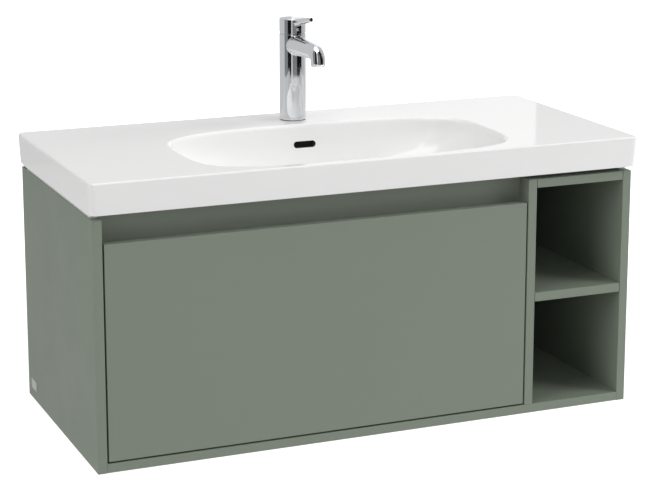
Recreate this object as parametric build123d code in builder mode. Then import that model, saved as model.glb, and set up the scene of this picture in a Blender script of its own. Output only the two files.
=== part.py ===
from build123d import *
from math import cos, pi, radians, sin, tan
import os

os.makedirs("parts", exist_ok=True)

# Frame: X to the right, Y from the front to the wall, Z up from the cabinet's underside.
# X = 0 is the middle of the cabinet, and the wall stands half a basin depth behind Y = 0.

# Basin and cabinet sizes
basin_width = 1000.0
basin_depth = 460.0
basin_side_overhang = 7.0
basin_front_overhang = 12.0
cabinet_height = 425.0
board = 16.0
shelf_bay_width = 172.0
lower_bay_height = 188.0
bay_back_thickness = 8.0
wall_space = 20.0

# Drawer front and the grip recess over it
front_gap = 3.0
front_height = 365.0
front_board = 16.0
front_edge_round = 0.6
recess_depth = 34.0
grip_rail_height = 85.0
rear_top_rail_height = 100.0
rear_bottom_rail_height = 80.0
shelf_set_back = 0.5

# Board joints
dowel_radius = 4.0
dowel_length = 30.0
dowel_depth_in_face = 12.0
dowel_clearance = 0.05
dowel_end_gap = 0.5
dowel_end_distance = 68.0
rail_dowel_edge = 20.0
cam_radius = 7.5
cam_depth = 12.5
cam_set_back = 24.0
cam_bolt_radius = 3.0
cam_bolt_depth = 11.0
cam_clearance = 0.1

# Blank plate on the left side
plate_length = 35.0
plate_height = 18.0
plate_thickness = 0.8
plate_corner = 2.0
plate_rear_distance = 23.0
plate_low_edge = 20.0

# Wall rail and hanging brackets
wall_rail_height = 40.0
wall_rail_top = 392.0
wall_rail_steel = 2.0
wall_rail_shelf = 10.0
wall_rail_lip = 10.0
wall_rail_side_gap = 4.0
wall_hole_radius = 4.5
wall_hole_spacing = 600.0
wall_hole_height = 14.0
bracket_width = 22.0
bracket_depth = 42.0
bracket_height = 50.0
bracket_top_gap = 4.0
hook_width = 4.0
hook_height = 12.0
hook_tooth = 4.0
hook_tooth_drop = 7.0
hook_clearance = 1.0
adjuster_radius = 3.5
adjuster_length = 20.0
adjuster_head_radius = 4.6
adjuster_head = 3.0
adjuster_socket_radius = 1.8
adjuster_socket_depth = 1.5
adjuster_spacing = 26.0
bracket_screw_radius = 2.0
bracket_screw_head_radius = 3.8
bracket_screw_head = 2.4
bracket_screw_bite = 10.0
bracket_screw_spacing = 14.0
bracket_screw_edge = 7.0
bracket_screw_rear = 12.0
screw_clearance = 0.1

# Drawer box
drawer_board = 15.0
drawer_length = 350.0
drawer_side_height = 200.0
drawer_floor_gap = 12.0
drawer_bottom_thickness = 8.0
drawer_groove_depth = 6.0
drawer_groove_height = 10.0
drawer_groove_clearance = 0.1
surround_wall = 5.0
trap_clearance_side = 42.0
trap_clearance_front = 25.0
angle_bracket_leg = 30.0
angle_bracket_height = 90.0
angle_bracket_steel = 2.0
angle_screw_radius = 2.0
angle_screw_head_radius = 3.6
angle_screw_head = 1.6
angle_screw_bite = 9.0
angle_screw_spacing = 56.0
drawer_screw_radius = 2.5
drawer_screw_length = 40.0
drawer_screw_edge = 40.0

# Drawer runners
runner_height = 45.6
runner_stack = 12.7
runner_steel = 1.2
runner_front_gap = 2.0
runner_centre_height = 92.0
runner_flange = 9.0
middle_offset = 3.0
middle_flange = 7.0
inner_flange = 6.6
race_gap = 3.4
ball_clearance = 0.1
ball_strip_width = 3.6
ball_strip_length = 168.0

# Basin
skirt_height = 53.5
shadow_gap = 8.5
bedding_thickness = 1.0
rim_width = 26.0
deck_thickness = 12.0
basin_corner = 9.0
skirt_draft = 2.5
rim_round = 3.0
foot_width = 13.0
foot_end_gap = 30.0
bowl_centre_from_wall = 258.0
bowl_half_width = 288.0
bowl_back = 135.0
bowl_front = 182.0
bowl_depth = 110.0
bowl_shell = 10.0
bowl_lip = 6.0
bowl_plan_power_back = 3.0
bowl_plan_power_front = 4.4
bowl_wall_power_side = 2.0
bowl_wall_power_back = 2.2
bowl_wall_power_front = 1.3
bowl_outline_points = 20
bowl_levels = 6
bowl_last_level = radians(84)
overflow_width = 43.0
overflow_height = 12.0
overflow_below_deck = 37.0
duct_gap = 12.0
duct_wall = 7.0
duct_cheek = 8.0
basin_bolt_radius = 7.0
basin_bolt_spacing = 280.0
basin_bolt_below_deck = 33.0

# Waste
waste_hole_radius = 23.0
waste_boss_radius = 34.0
waste_boss_depth = 27.0
flange_radius = 32.0
flange_thickness = 2.5
flange_recess = 1.0
flange_round = 0.8
flange_slot_width = 20.0
waste_radius = 22.5
waste_wall = 3.0
waste_length = 78.0
seal_thickness = 4.0
seal_radius = 33.0
nut_height = 8.0
back_nut_radius = 34.0
plug_radius = 28.0
plug_thickness = 3.0
plug_dome = 1.6
plug_seal_radius = 24.0
plug_seal_height = 1.2
plug_stem_radius = 4.0
plug_stem_end = 3.0
plug_travel = 9.0
guide_hub_radius = 8.0
guide_height = 10.0
guide_arm = 3.0
guide_depth = 24.0
running_clearance = 0.06
guide_arms = 3

# Trap
pipe_radius = 16.0
pipe_wall = 1.5
pipe_end_radius = 15.7
pipe_end_past_nut = 4.5
coupling_radius = 27.0
coupling_height = 22.0
coupling_lip = 5.0
fit_gap = 0.2
trap_radius = 33.0
trap_wall = 2.5
trap_top = 276.0
trap_bottom = 176.0
trap_cup_height = 30.0
trap_cup_wall = 2.5
trap_foot_radius = 16.5
trap_foot_height = 5.0
trap_collar_height = 14.0
trap_pipe_dip = 62.0
wall_pipe_height = 244.0
outlet_nut_length = 24.0
outlet_nut_radius = 23.0

# Tap
tap_from_wall = 69.0
tap_hole_radius = 17.5
tap_radius = 24.0
tap_top_height = 159.0
gasket_thickness = 1.2
gasket_radius = 23.2
tap_edge_round = 0.8
cartridge_radius = 17.4
cartridge_height = 30.0
cartridge_clearance = 0.1
cartridge_nut_height = 6.0
cartridge_nut_bore = 13.0
spout_height = 139.5
spout_root_radius = 19.0
spout_bend_start_radius = 13.6
spout_tip_radius = 12.6
spout_reach = 122.0
spout_bend_radius = 17.0
spout_drop = 6.5
spout_bore_radius = 8.0
aerator_radius = 10.4
aerator_depth = 7.0
aerator_recess = 1.0
aerator_hole_radius = 0.9
aerator_ring_radius = 5.4
aerator_holes = 10
pivot_rise = 4.0
joint_ring_radius = 23.0
joint_ring_thickness = 1.4
joint_ring_gap = 0.3
cover_radius = 19.0
cover_gap = 0.6
spindle_radius = 12.6
spindle_seat_radius = 6.3
spindle_seat_depth = 0.2
cap_gap = 2.0
cap_height = 26.0
cap_edge_round = 1.5
lift_angle = 20.0
lift_relief = 0.8
stem_width = 6.0
stem_clearance = 0.8
stem_pin_radius = 1.5
stem_pin_bite = 4.0
lever_root_radius = 6.8
lever_tip_radius = 3.9
lever_reach = 90.0
lever_root_rise = 17.0
lever_tip_rise = 34.0
lever_pin_radius = 2.5
lever_pin_length = 4.0
lever_tip_round = 1.9
dot_radius = 3.0
dot_thickness = 1.2
dot_sink = 0.7
dot_rise = 5.5
inlet_radius = 5.0
inlet_depth = 16.0
inlet_spread = 7.0
inlet_forward = 6.0
stud_radius = 4.0
stud_set_back = 12.0
stud_length = 68.0
stud_bite = 16.0
horseshoe_radius = 24.0
horseshoe_mouth_radius = 12.6
horseshoe_thickness = 2.5
rubber_thickness = 3.0
stud_nut_radius = 7.5
stud_nut_height = 6.5
thread_clearance = 0.05

# Places worked out from the sizes
wall = basin_depth / 2
cabinet_front = basin_front_overhang - basin_depth / 2
half_cabinet = basin_width / 2 - basin_side_overhang
inner_left = -half_cabinet + board
inner_right = half_cabinet - board
partition_right = inner_right - shelf_bay_width
partition_left = partition_right - board
board_rear = wall - wall_space
rail_front = board_rear - board
grip_front = cabinet_front + recess_depth
grip_rear = grip_front + board
front_rear = cabinet_front + front_board
front_low = board + front_gap
front_top = front_low + front_height
middle_low = board + lower_bay_height
middle_high = middle_low + board
deck = cabinet_height + shadow_gap + skirt_height
skirt_low = cabinet_height + shadow_gap
bowl_y = wall - bowl_centre_from_wall
tap_y = wall - tap_from_wall


def box_between(low, high, mode=Mode.ADD):
    """A box from its lowest corner to its highest."""
    centre = [(a + b) / 2 for a, b in zip(low, high)]
    with Locations(tuple(centre)):
        Box(*[b - a for a, b in zip(low, high)], mode=mode)


def rod(radius, start, end, mode=Mode.ADD, end_radius=None):
    """A round bar, or a cone, from one point to another."""
    axis = Vector(*end) - Vector(*start)
    with Locations(Plane(origin=start, z_dir=axis)):
        if end_radius in (None, radius):
            Cylinder(radius, axis.length, align=(Align.CENTER, Align.CENTER, Align.MIN), mode=mode)
        else:
            Cone(radius, end_radius, axis.length, align=(Align.CENTER, Align.CENTER, Align.MIN), mode=mode)


def keep(part, label):
    """Labels a finished piece and writes it to its own file."""
    part.label = label
    export_step(part, f"parts/{label}.step")


# Dowels: each is a start and an end point across the seam of two boards
def seam_dowels(face_x, into_member, places):
    """Dowels along X at the given (y, z) places; into_member is +1 where the member lies at higher X."""
    start = face_x - into_member * dowel_depth_in_face
    end = start + into_member * dowel_length
    return [((start, y, z), (end, y, z)) for y, z in places]


def drill_dowels(*groups):
    """Cuts the dowel holes of the named seams from the board being made."""
    for group in groups:
        for start, end in group:
            axis = (Vector(*end) - Vector(*start)).normalized() * dowel_end_gap
            rod(dowel_radius + dowel_clearance, Vector(*start) - axis, Vector(*end) + axis, Mode.SUBTRACT)


deep_places = (cabinet_front + dowel_end_distance, board_rear - dowel_end_distance)
board_mid = board / 2


def flat_places(z):
    """Dowel places of a lying board at height z."""
    return [(y, z) for y in deep_places]


def rail_places(y, low, high):
    """Dowel places of a standing rail, one near each edge."""
    return [(y, low + rail_dowel_edge), (y, high - rail_dowel_edge)]


hook_low = wall_rail_top + wall_rail_lip
hook_high = hook_low + hook_height
slot_low = hook_low - hook_tooth_drop - hook_clearance
grip_low = cabinet_height - grip_rail_height
rear_top_low = cabinet_height - rear_top_rail_height
rear_bottom_high = board + rear_bottom_rail_height
grip_mid_y = (grip_front + grip_rear) / 2
rail_mid_y = (rail_front + board_rear) / 2
bay_top_mid = cabinet_height - board_mid
middle_mid = (middle_low + middle_high) / 2
rail_seams = (
    rail_places(grip_mid_y, grip_low, cabinet_height)
    + rail_places(rail_mid_y, rear_top_low, slot_low)
    + rail_places(rail_mid_y, board, rear_bottom_high)
)
bottom_left_dowels = seam_dowels(inner_left, 1, flat_places(board_mid))
bottom_right_dowels = seam_dowels(inner_right, -1, flat_places(board_mid))
rail_left_dowels = seam_dowels(inner_left, 1, rail_seams)
rail_right_dowels = seam_dowels(partition_left, -1, rail_seams)
bay_places = flat_places(bay_top_mid) + flat_places(middle_mid)
bay_left_dowels = seam_dowels(partition_right, 1, bay_places)
bay_right_dowels = seam_dowels(inner_right, -1, bay_places)
partition_mid_x = (partition_left + partition_right) / 2
foot_dowel_low = board - dowel_depth_in_face
foot_dowel_high = foot_dowel_low + dowel_length
partition_foot_dowels = [
    ((partition_mid_x, y, foot_dowel_low), (partition_mid_x, y, foot_dowel_high)) for y in deep_places
]
all_dowels = (
    bottom_left_dowels
    + bottom_right_dowels
    + rail_left_dowels
    + rail_right_dowels
    + bay_left_dowels
    + bay_right_dowels
    + partition_foot_dowels
)


# Cam joints: a round cam sunk in the member and a bolt that reaches it from the board beside it
def cam_joint(face_x, into_member, y, z, face_point, inward):
    """One cam: the seam's X, the member's side, the bolt's place, and the cam's mouth and direction."""
    cam_x = face_x + into_member * cam_set_back
    mouth = Vector(cam_x, face_point[0], face_point[1])
    floor = mouth + Vector(*inward) * cam_depth
    bolt_start = Vector(face_x - into_member * cam_bolt_depth, y, z)
    bolt_end = Vector(cam_x - into_member * (cam_radius + fit_gap), y, z)
    return mouth, floor, bolt_start, bolt_end


def both_ends(left_x, right_x, y, z, face_point, inward):
    """The cams at the two ends of one member."""
    return [
        cam_joint(left_x, 1, y, z, face_point, inward),
        cam_joint(right_x, -1, y, z, face_point, inward),
    ]


mid_y = (cabinet_front + board_rear) / 2
grip_cam_z = cabinet_height - grip_rail_height / 2
rear_top_cam_z = (rear_top_low + slot_low) / 2
rear_bottom_cam_z = board + rear_bottom_rail_height / 2
bottom_cams = both_ends(inner_left, inner_right, mid_y, board_mid, (mid_y, 0), (0, 0, 1))
bay_top_cams = both_ends(
    partition_right, inner_right, mid_y, bay_top_mid, (mid_y, cabinet_height), (0, 0, -1)
)
grip_cams = both_ends(
    inner_left, partition_left, grip_mid_y, grip_cam_z, (grip_rear, grip_cam_z), (0, -1, 0)
)
rear_top_cams = both_ends(
    inner_left, partition_left, rail_mid_y, rear_top_cam_z, (board_rear, rear_top_cam_z), (0, -1, 0)
)
rear_bottom_cams = both_ends(
    inner_left, partition_left, rail_mid_y, rear_bottom_cam_z, (board_rear, rear_bottom_cam_z), (0, -1, 0)
)
all_cams = bottom_cams + bay_top_cams + grip_cams + rear_top_cams + rear_bottom_cams


def drill_cams(*groups):
    """Cuts the cam and bolt holes of the named joints from the board being made."""
    for group in groups:
        for mouth, floor, bolt_start, bolt_end in group:
            rod(cam_radius + cam_clearance, mouth, floor, Mode.SUBTRACT)
            rod(cam_bolt_radius + cam_clearance, bolt_start, bolt_end, Mode.SUBTRACT)


def drill_bolts(*groups):
    """Cuts only the bolt holes, for the boards that the bolts start in."""
    for group in groups:
        for _, _, bolt_start, bolt_end in group:
            rod(cam_bolt_radius + cam_clearance, bolt_start, bolt_end, Mode.SUBTRACT)


# Bracket places: a housing in each rear top corner of the drawer bay, seen from the wall plane
bracket_top = cabinet_height - bracket_top_gap
bracket_low = bracket_top - bracket_height
bracket_front = rail_front - bracket_depth
bracket_mid_z = (bracket_low + bracket_top) / 2


def bracket_x(side):
    """The bracket's face against its board and its free face; side is -1 at the left, +1 at the right."""
    face = inner_left if side < 0 else partition_left
    return face, face - side * bracket_width


def bracket_screws(side):
    """Start and end points of the two wood screws of one bracket."""
    face, free = bracket_x(side)
    y = rail_front - bracket_screw_rear
    low = bracket_low + bracket_screw_edge
    return [
        ((free, y, z), (face + side * bracket_screw_bite, y, z))
        for z in (low, low + bracket_screw_spacing)
    ]


all_bracket_screws = bracket_screws(-1) + bracket_screws(1)


# Carcass boards
with BuildPart() as left_side_panel:
    box_between((-half_cabinet, cabinet_front, 0), (inner_left, wall, cabinet_height))
    drill_dowels(bottom_left_dowels, rail_left_dowels)
    drill_bolts([bottom_cams[0], grip_cams[0], rear_top_cams[0], rear_bottom_cams[0]])
    for start, end in bracket_screws(-1):
        rod(bracket_screw_radius + screw_clearance, start, end, Mode.SUBTRACT)
keep(left_side_panel.part, "left_side_panel")

with BuildPart() as right_side_panel:
    box_between((inner_right, cabinet_front, 0), (half_cabinet, wall, cabinet_height))
    drill_dowels(bottom_right_dowels, bay_right_dowels)
    drill_bolts([bottom_cams[1], bay_top_cams[1]])
keep(right_side_panel.part, "right_side_panel")

with BuildPart() as partition_panel:
    box_between((partition_left, cabinet_front, board), (partition_right, board_rear, cabinet_height))
    drill_dowels(rail_right_dowels, bay_left_dowels, partition_foot_dowels)
    drill_bolts([grip_cams[1], rear_top_cams[1], rear_bottom_cams[1], bay_top_cams[0]])
    for start, end in bracket_screws(1):
        rod(bracket_screw_radius + screw_clearance, start, end, Mode.SUBTRACT)
keep(partition_panel.part, "partition_panel")

with BuildPart() as bottom_panel:
    box_between((inner_left, cabinet_front, 0), (inner_right, board_rear, board))
    drill_dowels(bottom_left_dowels, bottom_right_dowels, partition_foot_dowels)
    drill_cams(bottom_cams)
keep(bottom_panel.part, "bottom_panel")

with BuildPart() as shelf_bay_top:
    box_between(
        (partition_right, cabinet_front, cabinet_height - board),
        (inner_right, board_rear, cabinet_height),
    )
    drill_dowels(bay_left_dowels, bay_right_dowels)
    drill_cams(bay_top_cams)
keep(shelf_bay_top.part, "shelf_bay_top")

bay_back_front = board_rear - bay_back_thickness
with BuildPart() as middle_shelf:
    box_between(
        (partition_right, cabinet_front + shelf_set_back, middle_low),
        (inner_right, bay_back_front, middle_high),
    )
    drill_dowels(bay_left_dowels, bay_right_dowels)
keep(middle_shelf.part, "middle_shelf")

with BuildPart() as shelf_bay_back:
    box_between((partition_right, bay_back_front, board), (inner_right, board_rear, cabinet_height - board))
keep(shelf_bay_back.part, "shelf_bay_back")

with BuildPart() as grip_rail:
    box_between((inner_left, grip_front, grip_low), (partition_left, grip_rear, cabinet_height))
    drill_dowels(rail_left_dowels, rail_right_dowels)
    drill_cams(grip_cams)
keep(grip_rail.part, "grip_rail")

with BuildPart() as rear_top_rail:
    box_between((inner_left, rail_front, rear_top_low), (partition_left, board_rear, cabinet_height))
    drill_dowels(rail_left_dowels, rail_right_dowels)
    drill_cams(rear_top_cams)
    for side in (-1, 1):
        face, free = bracket_x(side)
        slot_x = (face + free) / 2
        slot_half = hook_width / 2 + hook_clearance
        box_between(
            (slot_x - slot_half, rail_front, slot_low),
            (slot_x + slot_half, board_rear, hook_high + hook_clearance),
            Mode.SUBTRACT,
        )
keep(rear_top_rail.part, "rear_top_rail")

with BuildPart() as rear_bottom_rail:
    box_between((inner_left, rail_front, board), (partition_left, board_rear, rear_bottom_high))
    drill_dowels(rail_left_dowels, rail_right_dowels)
    drill_cams(rear_bottom_cams)
keep(rear_bottom_rail.part, "rear_bottom_rail")

# Board fittings
with BuildPart() as dowels:
    for start, end in all_dowels:
        rod(dowel_radius, start, end)
keep(dowels.part, "dowels")

with BuildPart() as cam_fittings:
    for mouth, floor, bolt_start, bolt_end in all_cams:
        rod(cam_radius, mouth, floor)
        rod(cam_bolt_radius, bolt_start, bolt_end)
keep(cam_fittings.part, "cam_fittings")

with BuildPart() as blank_plate:
    plate_rear = wall - plate_rear_distance
    box_between(
        (-half_cabinet - plate_thickness, plate_rear - plate_length, plate_low_edge),
        (-half_cabinet, plate_rear, plate_low_edge + plate_height),
    )
    fillet(blank_plate.edges().filter_by(Axis.X), plate_corner)
keep(blank_plate.part, "blank_plate")

# Wall rail: a web on the wall, a shelf and an upturned lip that the hooks sit on
lip_front = wall - wall_rail_shelf
with BuildPart() as wall_rail:
    with BuildSketch(Plane.YZ.offset(inner_left + wall_rail_side_gap)) as wall_rail_section:
        with BuildLine():
            Polyline(
                (wall, wall_rail_top - wall_rail_height),
                (wall, wall_rail_top),
                (lip_front + wall_rail_steel, wall_rail_top),
                (lip_front + wall_rail_steel, wall_rail_top + wall_rail_lip),
                (lip_front, wall_rail_top + wall_rail_lip),
                (lip_front, wall_rail_top - wall_rail_steel),
                (wall - wall_rail_steel, wall_rail_top - wall_rail_steel),
                (wall - wall_rail_steel, wall_rail_top - wall_rail_height),
                close=True,
            )
        make_face()
    extrude(amount=partition_left - inner_left - 2 * wall_rail_side_gap)
    wall_rail_mid = (inner_left + partition_left) / 2
    for k in (-1, 1):
        x = wall_rail_mid + k * wall_hole_spacing / 2
        z = wall_rail_top - wall_rail_height + wall_hole_height
        rod(wall_hole_radius, (x, wall, z), (x, wall - wall_rail_steel, z), Mode.SUBTRACT)
keep(wall_rail.part, "wall_rail")


# Hanging brackets
def adjusters(side):
    """Start and end points of the height and depth adjusters of one bracket."""
    face, free = bracket_x(side)
    middle = (face + free) / 2
    low = bracket_mid_z - adjuster_spacing / 2
    end_y = bracket_front + adjuster_length / 2 - fit_gap
    return [((middle, bracket_front, z), (middle, end_y, z)) for z in (low, low + adjuster_spacing)]


with BuildPart() as hanging_brackets:
    for side in (-1, 1):
        face, free = bracket_x(side)
        middle = (face + free) / 2
        box_between(
            (min(face, free), bracket_front, bracket_low),
            (max(face, free), rail_front, bracket_top),
        )
        half = hook_width / 2 + fit_gap
        box_between(
            (middle - half, bracket_front + adjuster_length / 2, hook_low - fit_gap),
            (middle + half, rail_front, hook_high + fit_gap),
            Mode.SUBTRACT,
        )
        for start, end in adjusters(side):
            rod(adjuster_radius + screw_clearance, start, end, Mode.SUBTRACT)
        for start, end in bracket_screws(side):
            rod(bracket_screw_radius + screw_clearance, start, end, Mode.SUBTRACT)
            inward = (Vector(*end) - Vector(*start)).normalized()
            seat = Vector(*start) + inward * (bracket_screw_head + screw_clearance)
            rod(bracket_screw_head_radius + screw_clearance, start, seat, Mode.SUBTRACT)
keep(hanging_brackets.part, "hanging_brackets")

with BuildPart() as hanging_hooks:
    for side in (-1, 1):
        face, free = bracket_x(side)
        middle = (face + free) / 2
        tooth_front = lip_front + wall_rail_steel + fit_gap
        box_between(
            (middle - hook_width / 2, bracket_front + adjuster_length / 2 + fit_gap, hook_low),
            (middle + hook_width / 2, tooth_front + hook_tooth, hook_high),
        )
        box_between(
            (middle - hook_width / 2, tooth_front, hook_low - hook_tooth_drop),
            (middle + hook_width / 2, tooth_front + hook_tooth, hook_high),
        )
keep(hanging_hooks.part, "hanging_hooks")

with BuildPart() as bracket_screw_set:
    for side in (-1, 1):
        for start, end in adjusters(side):
            rod(adjuster_radius, start, end)
            head = (start[0], start[1] - adjuster_head, start[2])
            rod(adjuster_head_radius, head, start)
            socket_floor = (head[0], head[1] + adjuster_socket_depth, head[2])
            rod(adjuster_socket_radius, head, socket_floor, Mode.SUBTRACT)
    for start, end in all_bracket_screws:
        inward = (Vector(*end) - Vector(*start)).normalized()
        seat = Vector(*start) + inward * bracket_screw_head
        rod(bracket_screw_radius, start, Vector(*end) - inward * fit_gap)
        rod(bracket_screw_head_radius, start, seat)
keep(bracket_screw_set.part, "bracket_screws")

# Drawer places
box_left = inner_left + runner_stack
box_right = partition_left - runner_stack
box_inner_left = box_left + drawer_board
box_inner_right = box_right - drawer_board
box_low = board + drawer_floor_gap
box_top = box_low + drawer_side_height
box_front = front_rear
box_rear = box_front + drawer_length
bottom_low = box_low + drawer_groove_height
bottom_high = bottom_low + drawer_bottom_thickness
surround_x = trap_radius + trap_clearance_side
surround_y = bowl_y - trap_radius - trap_clearance_front
surround_outer_x = surround_x + surround_wall
surround_outer_y = surround_y - surround_wall

with BuildPart() as drawer_front:
    box_between(
        (inner_left + front_gap, cabinet_front, front_low),
        (partition_left - front_gap, front_rear, front_top),
    )
    fillet(drawer_front.faces().sort_by(Axis.Y)[0].edges(), front_edge_round)
    for side in (-1, 1):
        corner = box_inner_left if side < 0 else box_inner_right
        for k in (-1, 1):
            x = corner - side * angle_bracket_leg / 2
            z = (bottom_high + box_top) / 2 + k * angle_screw_spacing / 2
            floor = (x, front_rear - angle_screw_bite, z)
            rod(angle_screw_radius + screw_clearance, (x, front_rear, z), floor, Mode.SUBTRACT)
keep(drawer_front.part, "drawer_front")


def angle_screw_places(side):
    """Screw axes of one angle bracket: two into the front and two into the drawer side."""
    corner = box_inner_left if side < 0 else box_inner_right
    middle = (bottom_high + box_top) / 2
    places = []
    for k in (-1, 1):
        z = middle + k * angle_screw_spacing / 2
        x = corner - side * angle_bracket_leg / 2
        y = front_rear + angle_bracket_leg / 2
        places.append(((x, front_rear + angle_bracket_steel, z), (0, -1, 0)))
        places.append(((corner - side * angle_bracket_steel, y, z), (side, 0, 0)))
    return places


def back_screws(side):
    """The screws through a drawer side into the end of its back piece."""
    face = box_left if side < 0 else box_right
    y = box_rear - drawer_board / 2
    heights = (bottom_high + drawer_screw_edge, box_top - drawer_screw_edge)
    return [((face, y, z), (face - side * drawer_screw_length, y, z)) for z in heights]


def drawer_side(side, label):
    """A drawer side with the groove for the bottom."""
    low_x = box_left if side < 0 else box_inner_right
    inner = box_inner_left if side < 0 else box_inner_right
    with BuildPart() as side_board:
        box_between((low_x, box_front, box_low), (low_x + drawer_board, box_rear, box_top))
        groove_floor = inner + side * drawer_groove_depth
        box_between(
            (min(inner, groove_floor), box_front, bottom_low - drawer_groove_clearance),
            (max(inner, groove_floor), box_rear, bottom_high + drawer_groove_clearance),
            Mode.SUBTRACT,
        )
        for seat, direction in angle_screw_places(side)[1::2]:
            tip = Vector(*seat) + Vector(*direction) * (angle_screw_bite + angle_bracket_steel)
            rod(angle_screw_radius + screw_clearance, seat, tip, Mode.SUBTRACT)
        for start, end in back_screws(side):
            rod(drawer_screw_radius + screw_clearance, start, end, Mode.SUBTRACT)
    keep(side_board.part, label)


drawer_side(-1, "drawer_left_side")
drawer_side(1, "drawer_right_side")


with BuildPart() as drawer_back_boards:
    for side in (-1, 1):
        outer = box_inner_left if side < 0 else box_inner_right
        inner = side * surround_outer_x
        box_between(
            (min(outer, inner), box_rear - drawer_board, bottom_high),
            (max(outer, inner), box_rear, box_top),
        )
        for start, end in back_screws(side):
            rod(drawer_screw_radius + screw_clearance, start, end, Mode.SUBTRACT)
keep(drawer_back_boards.part, "drawer_back_boards")

with BuildPart() as drawer_bottom:
    groove_reach = drawer_groove_depth - drawer_groove_clearance
    box_between(
        (box_inner_left - groove_reach, box_front, bottom_low),
        (box_inner_right + groove_reach, box_rear, bottom_high),
    )
    box_between((-surround_x, surround_y, bottom_low), (surround_x, box_rear, bottom_high), Mode.SUBTRACT)
keep(drawer_bottom.part, "drawer_bottom")

with BuildPart() as trap_surround:
    box_between((-surround_outer_x, surround_outer_y, bottom_high), (surround_outer_x, box_rear, box_top))
    box_between((-surround_x, surround_y, bottom_high), (surround_x, box_rear, box_top), Mode.SUBTRACT)
keep(trap_surround.part, "trap_surround")

with BuildPart() as drawer_angle_brackets:
    for side in (-1, 1):
        corner = box_inner_left if side < 0 else box_inner_right
        low_z = (bottom_high + box_top - angle_bracket_height) / 2
        far = corner - side * angle_bracket_leg
        thin = corner - side * angle_bracket_steel
        box_between(
            (min(corner, far), front_rear, low_z),
            (max(corner, far), front_rear + angle_bracket_steel, low_z + angle_bracket_height),
        )
        box_between(
            (min(corner, thin), front_rear, low_z),
            (max(corner, thin), front_rear + angle_bracket_leg, low_z + angle_bracket_height),
        )
        for seat, direction in angle_screw_places(side):
            tip = Vector(*seat) + Vector(*direction) * angle_bracket_steel
            rod(angle_screw_radius + screw_clearance, seat, tip, Mode.SUBTRACT)
keep(drawer_angle_brackets.part, "drawer_angle_brackets")

with BuildPart() as drawer_screws:
    for side in (-1, 1):
        for seat, direction in angle_screw_places(side):
            along = Vector(*direction)
            tip = Vector(*seat) + along * (angle_screw_bite + angle_bracket_steel - 2 * fit_gap)
            rod(angle_screw_radius, seat, tip)
            rod(angle_screw_head_radius, seat, Vector(*seat) - along * angle_screw_head)
        for start, end in back_screws(side):
            rod(drawer_screw_radius, start, (end[0] + side * fit_gap, end[1], end[2]))
keep(drawer_screws.part, "drawer_screws")


# Runners: three C-shaped members, one inside the other, with ball strips between their flanges
runner_front = front_rear + runner_front_gap
runner_rear = runner_front + drawer_length
outer_inside = runner_height / 2 - runner_steel
middle_outside = outer_inside - race_gap
middle_inside = middle_outside - runner_steel
inner_outside = middle_inside - race_gap


def channels(web_near, web_far, flange_far, outside, label):
    """The left and right member of one kind: a web and two flanges, placed from the board's face."""
    with BuildPart() as members:
        for side in (-1, 1):
            board_face = inner_left if side < 0 else partition_left
            for low, high, far in (
                (-outside, outside, web_far),
                (outside - runner_steel, outside, flange_far),
                (-outside, -outside + runner_steel, flange_far),
            ):
                x_near = board_face - side * web_near
                x_far = board_face - side * far
                box_between(
                    (min(x_near, x_far), runner_front, runner_centre_height + low),
                    (max(x_near, x_far), runner_rear, runner_centre_height + high),
                )
    keep(members.part, label)


def ball_strips(between, label):
    """Four bars, two a side, that fill the race between two members' flanges."""
    strip_front = (runner_front + runner_rear - ball_strip_length) / 2
    strip_rear = strip_front + ball_strip_length
    inside, outside = between
    with BuildPart() as strips:
        for side in (-1, 1):
            board_face = inner_left if side < 0 else partition_left
            near = board_face - side * (middle_offset + runner_steel)
            far = near - side * ball_strip_width
            for k in (-1, 1):
                edges = (k * (inside + ball_clearance), k * (outside - ball_clearance))
                box_between(
                    (min(near, far), strip_front, runner_centre_height + min(edges)),
                    (max(near, far), strip_rear, runner_centre_height + max(edges)),
                )
    keep(strips.part, label)


middle_web = middle_offset + runner_steel
channels(0, runner_steel, runner_flange, runner_height / 2, "cabinet_runners")
channels(middle_offset, middle_web, middle_offset + middle_flange, middle_outside, "middle_runners")
inner_web = runner_stack - runner_steel
channels(runner_stack, inner_web, runner_stack - inner_flange, inner_outside, "drawer_runners")
ball_strips((middle_outside, outer_inside), "outer_ball_strips")
ball_strips((inner_outside, middle_inside), "inner_ball_strips")


# Basin
def bowl_section(offset, drop):
    """One level of the bowl: a rounded plan outline drawn in by the depth below the deck.

    The plan is a superellipse, fuller towards the front; each radius shrinks with depth as
    (1 - (drop / depth) ** power) ** (1 / power), with a power that blends from back to front.
    """
    depth = bowl_depth + offset
    points = []
    for index in range(bowl_outline_points):
        angle = 2 * pi * index / bowl_outline_points
        across, along = cos(angle), sin(angle)
        to_back = along >= 0
        plan_power = bowl_plan_power_back if to_back else bowl_plan_power_front
        far_power = bowl_wall_power_back if to_back else bowl_wall_power_front
        power = bowl_wall_power_side + (far_power - bowl_wall_power_side) * abs(along)
        reach = (bowl_back if to_back else bowl_front) + offset
        plan = (abs(across) ** plan_power + abs(along) ** plan_power) ** (-1 / plan_power)
        drawn_in = (1 - (max(drop, 0) / depth) ** power) ** (1 / power)
        points.append(
            (
                (bowl_half_width + offset) * plan * across * drawn_in,
                bowl_y + reach * plan * along * drawn_in,
            )
        )
    return points


def bowl_form(offset):
    """The bowl grown by an offset, as one closed solid from the deck down to its floor."""
    depth = bowl_depth + offset
    drops = [depth * sin(bowl_last_level * k / (bowl_levels - 1)) for k in range(bowl_levels)]
    with BuildPart() as form:
        for drop in drops:
            with BuildSketch(Plane.XY.offset(deck - drop)):
                with BuildLine():
                    Spline(*bowl_section(offset, drop), periodic=True)
                make_face()
        loft()
    return form.part


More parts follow.
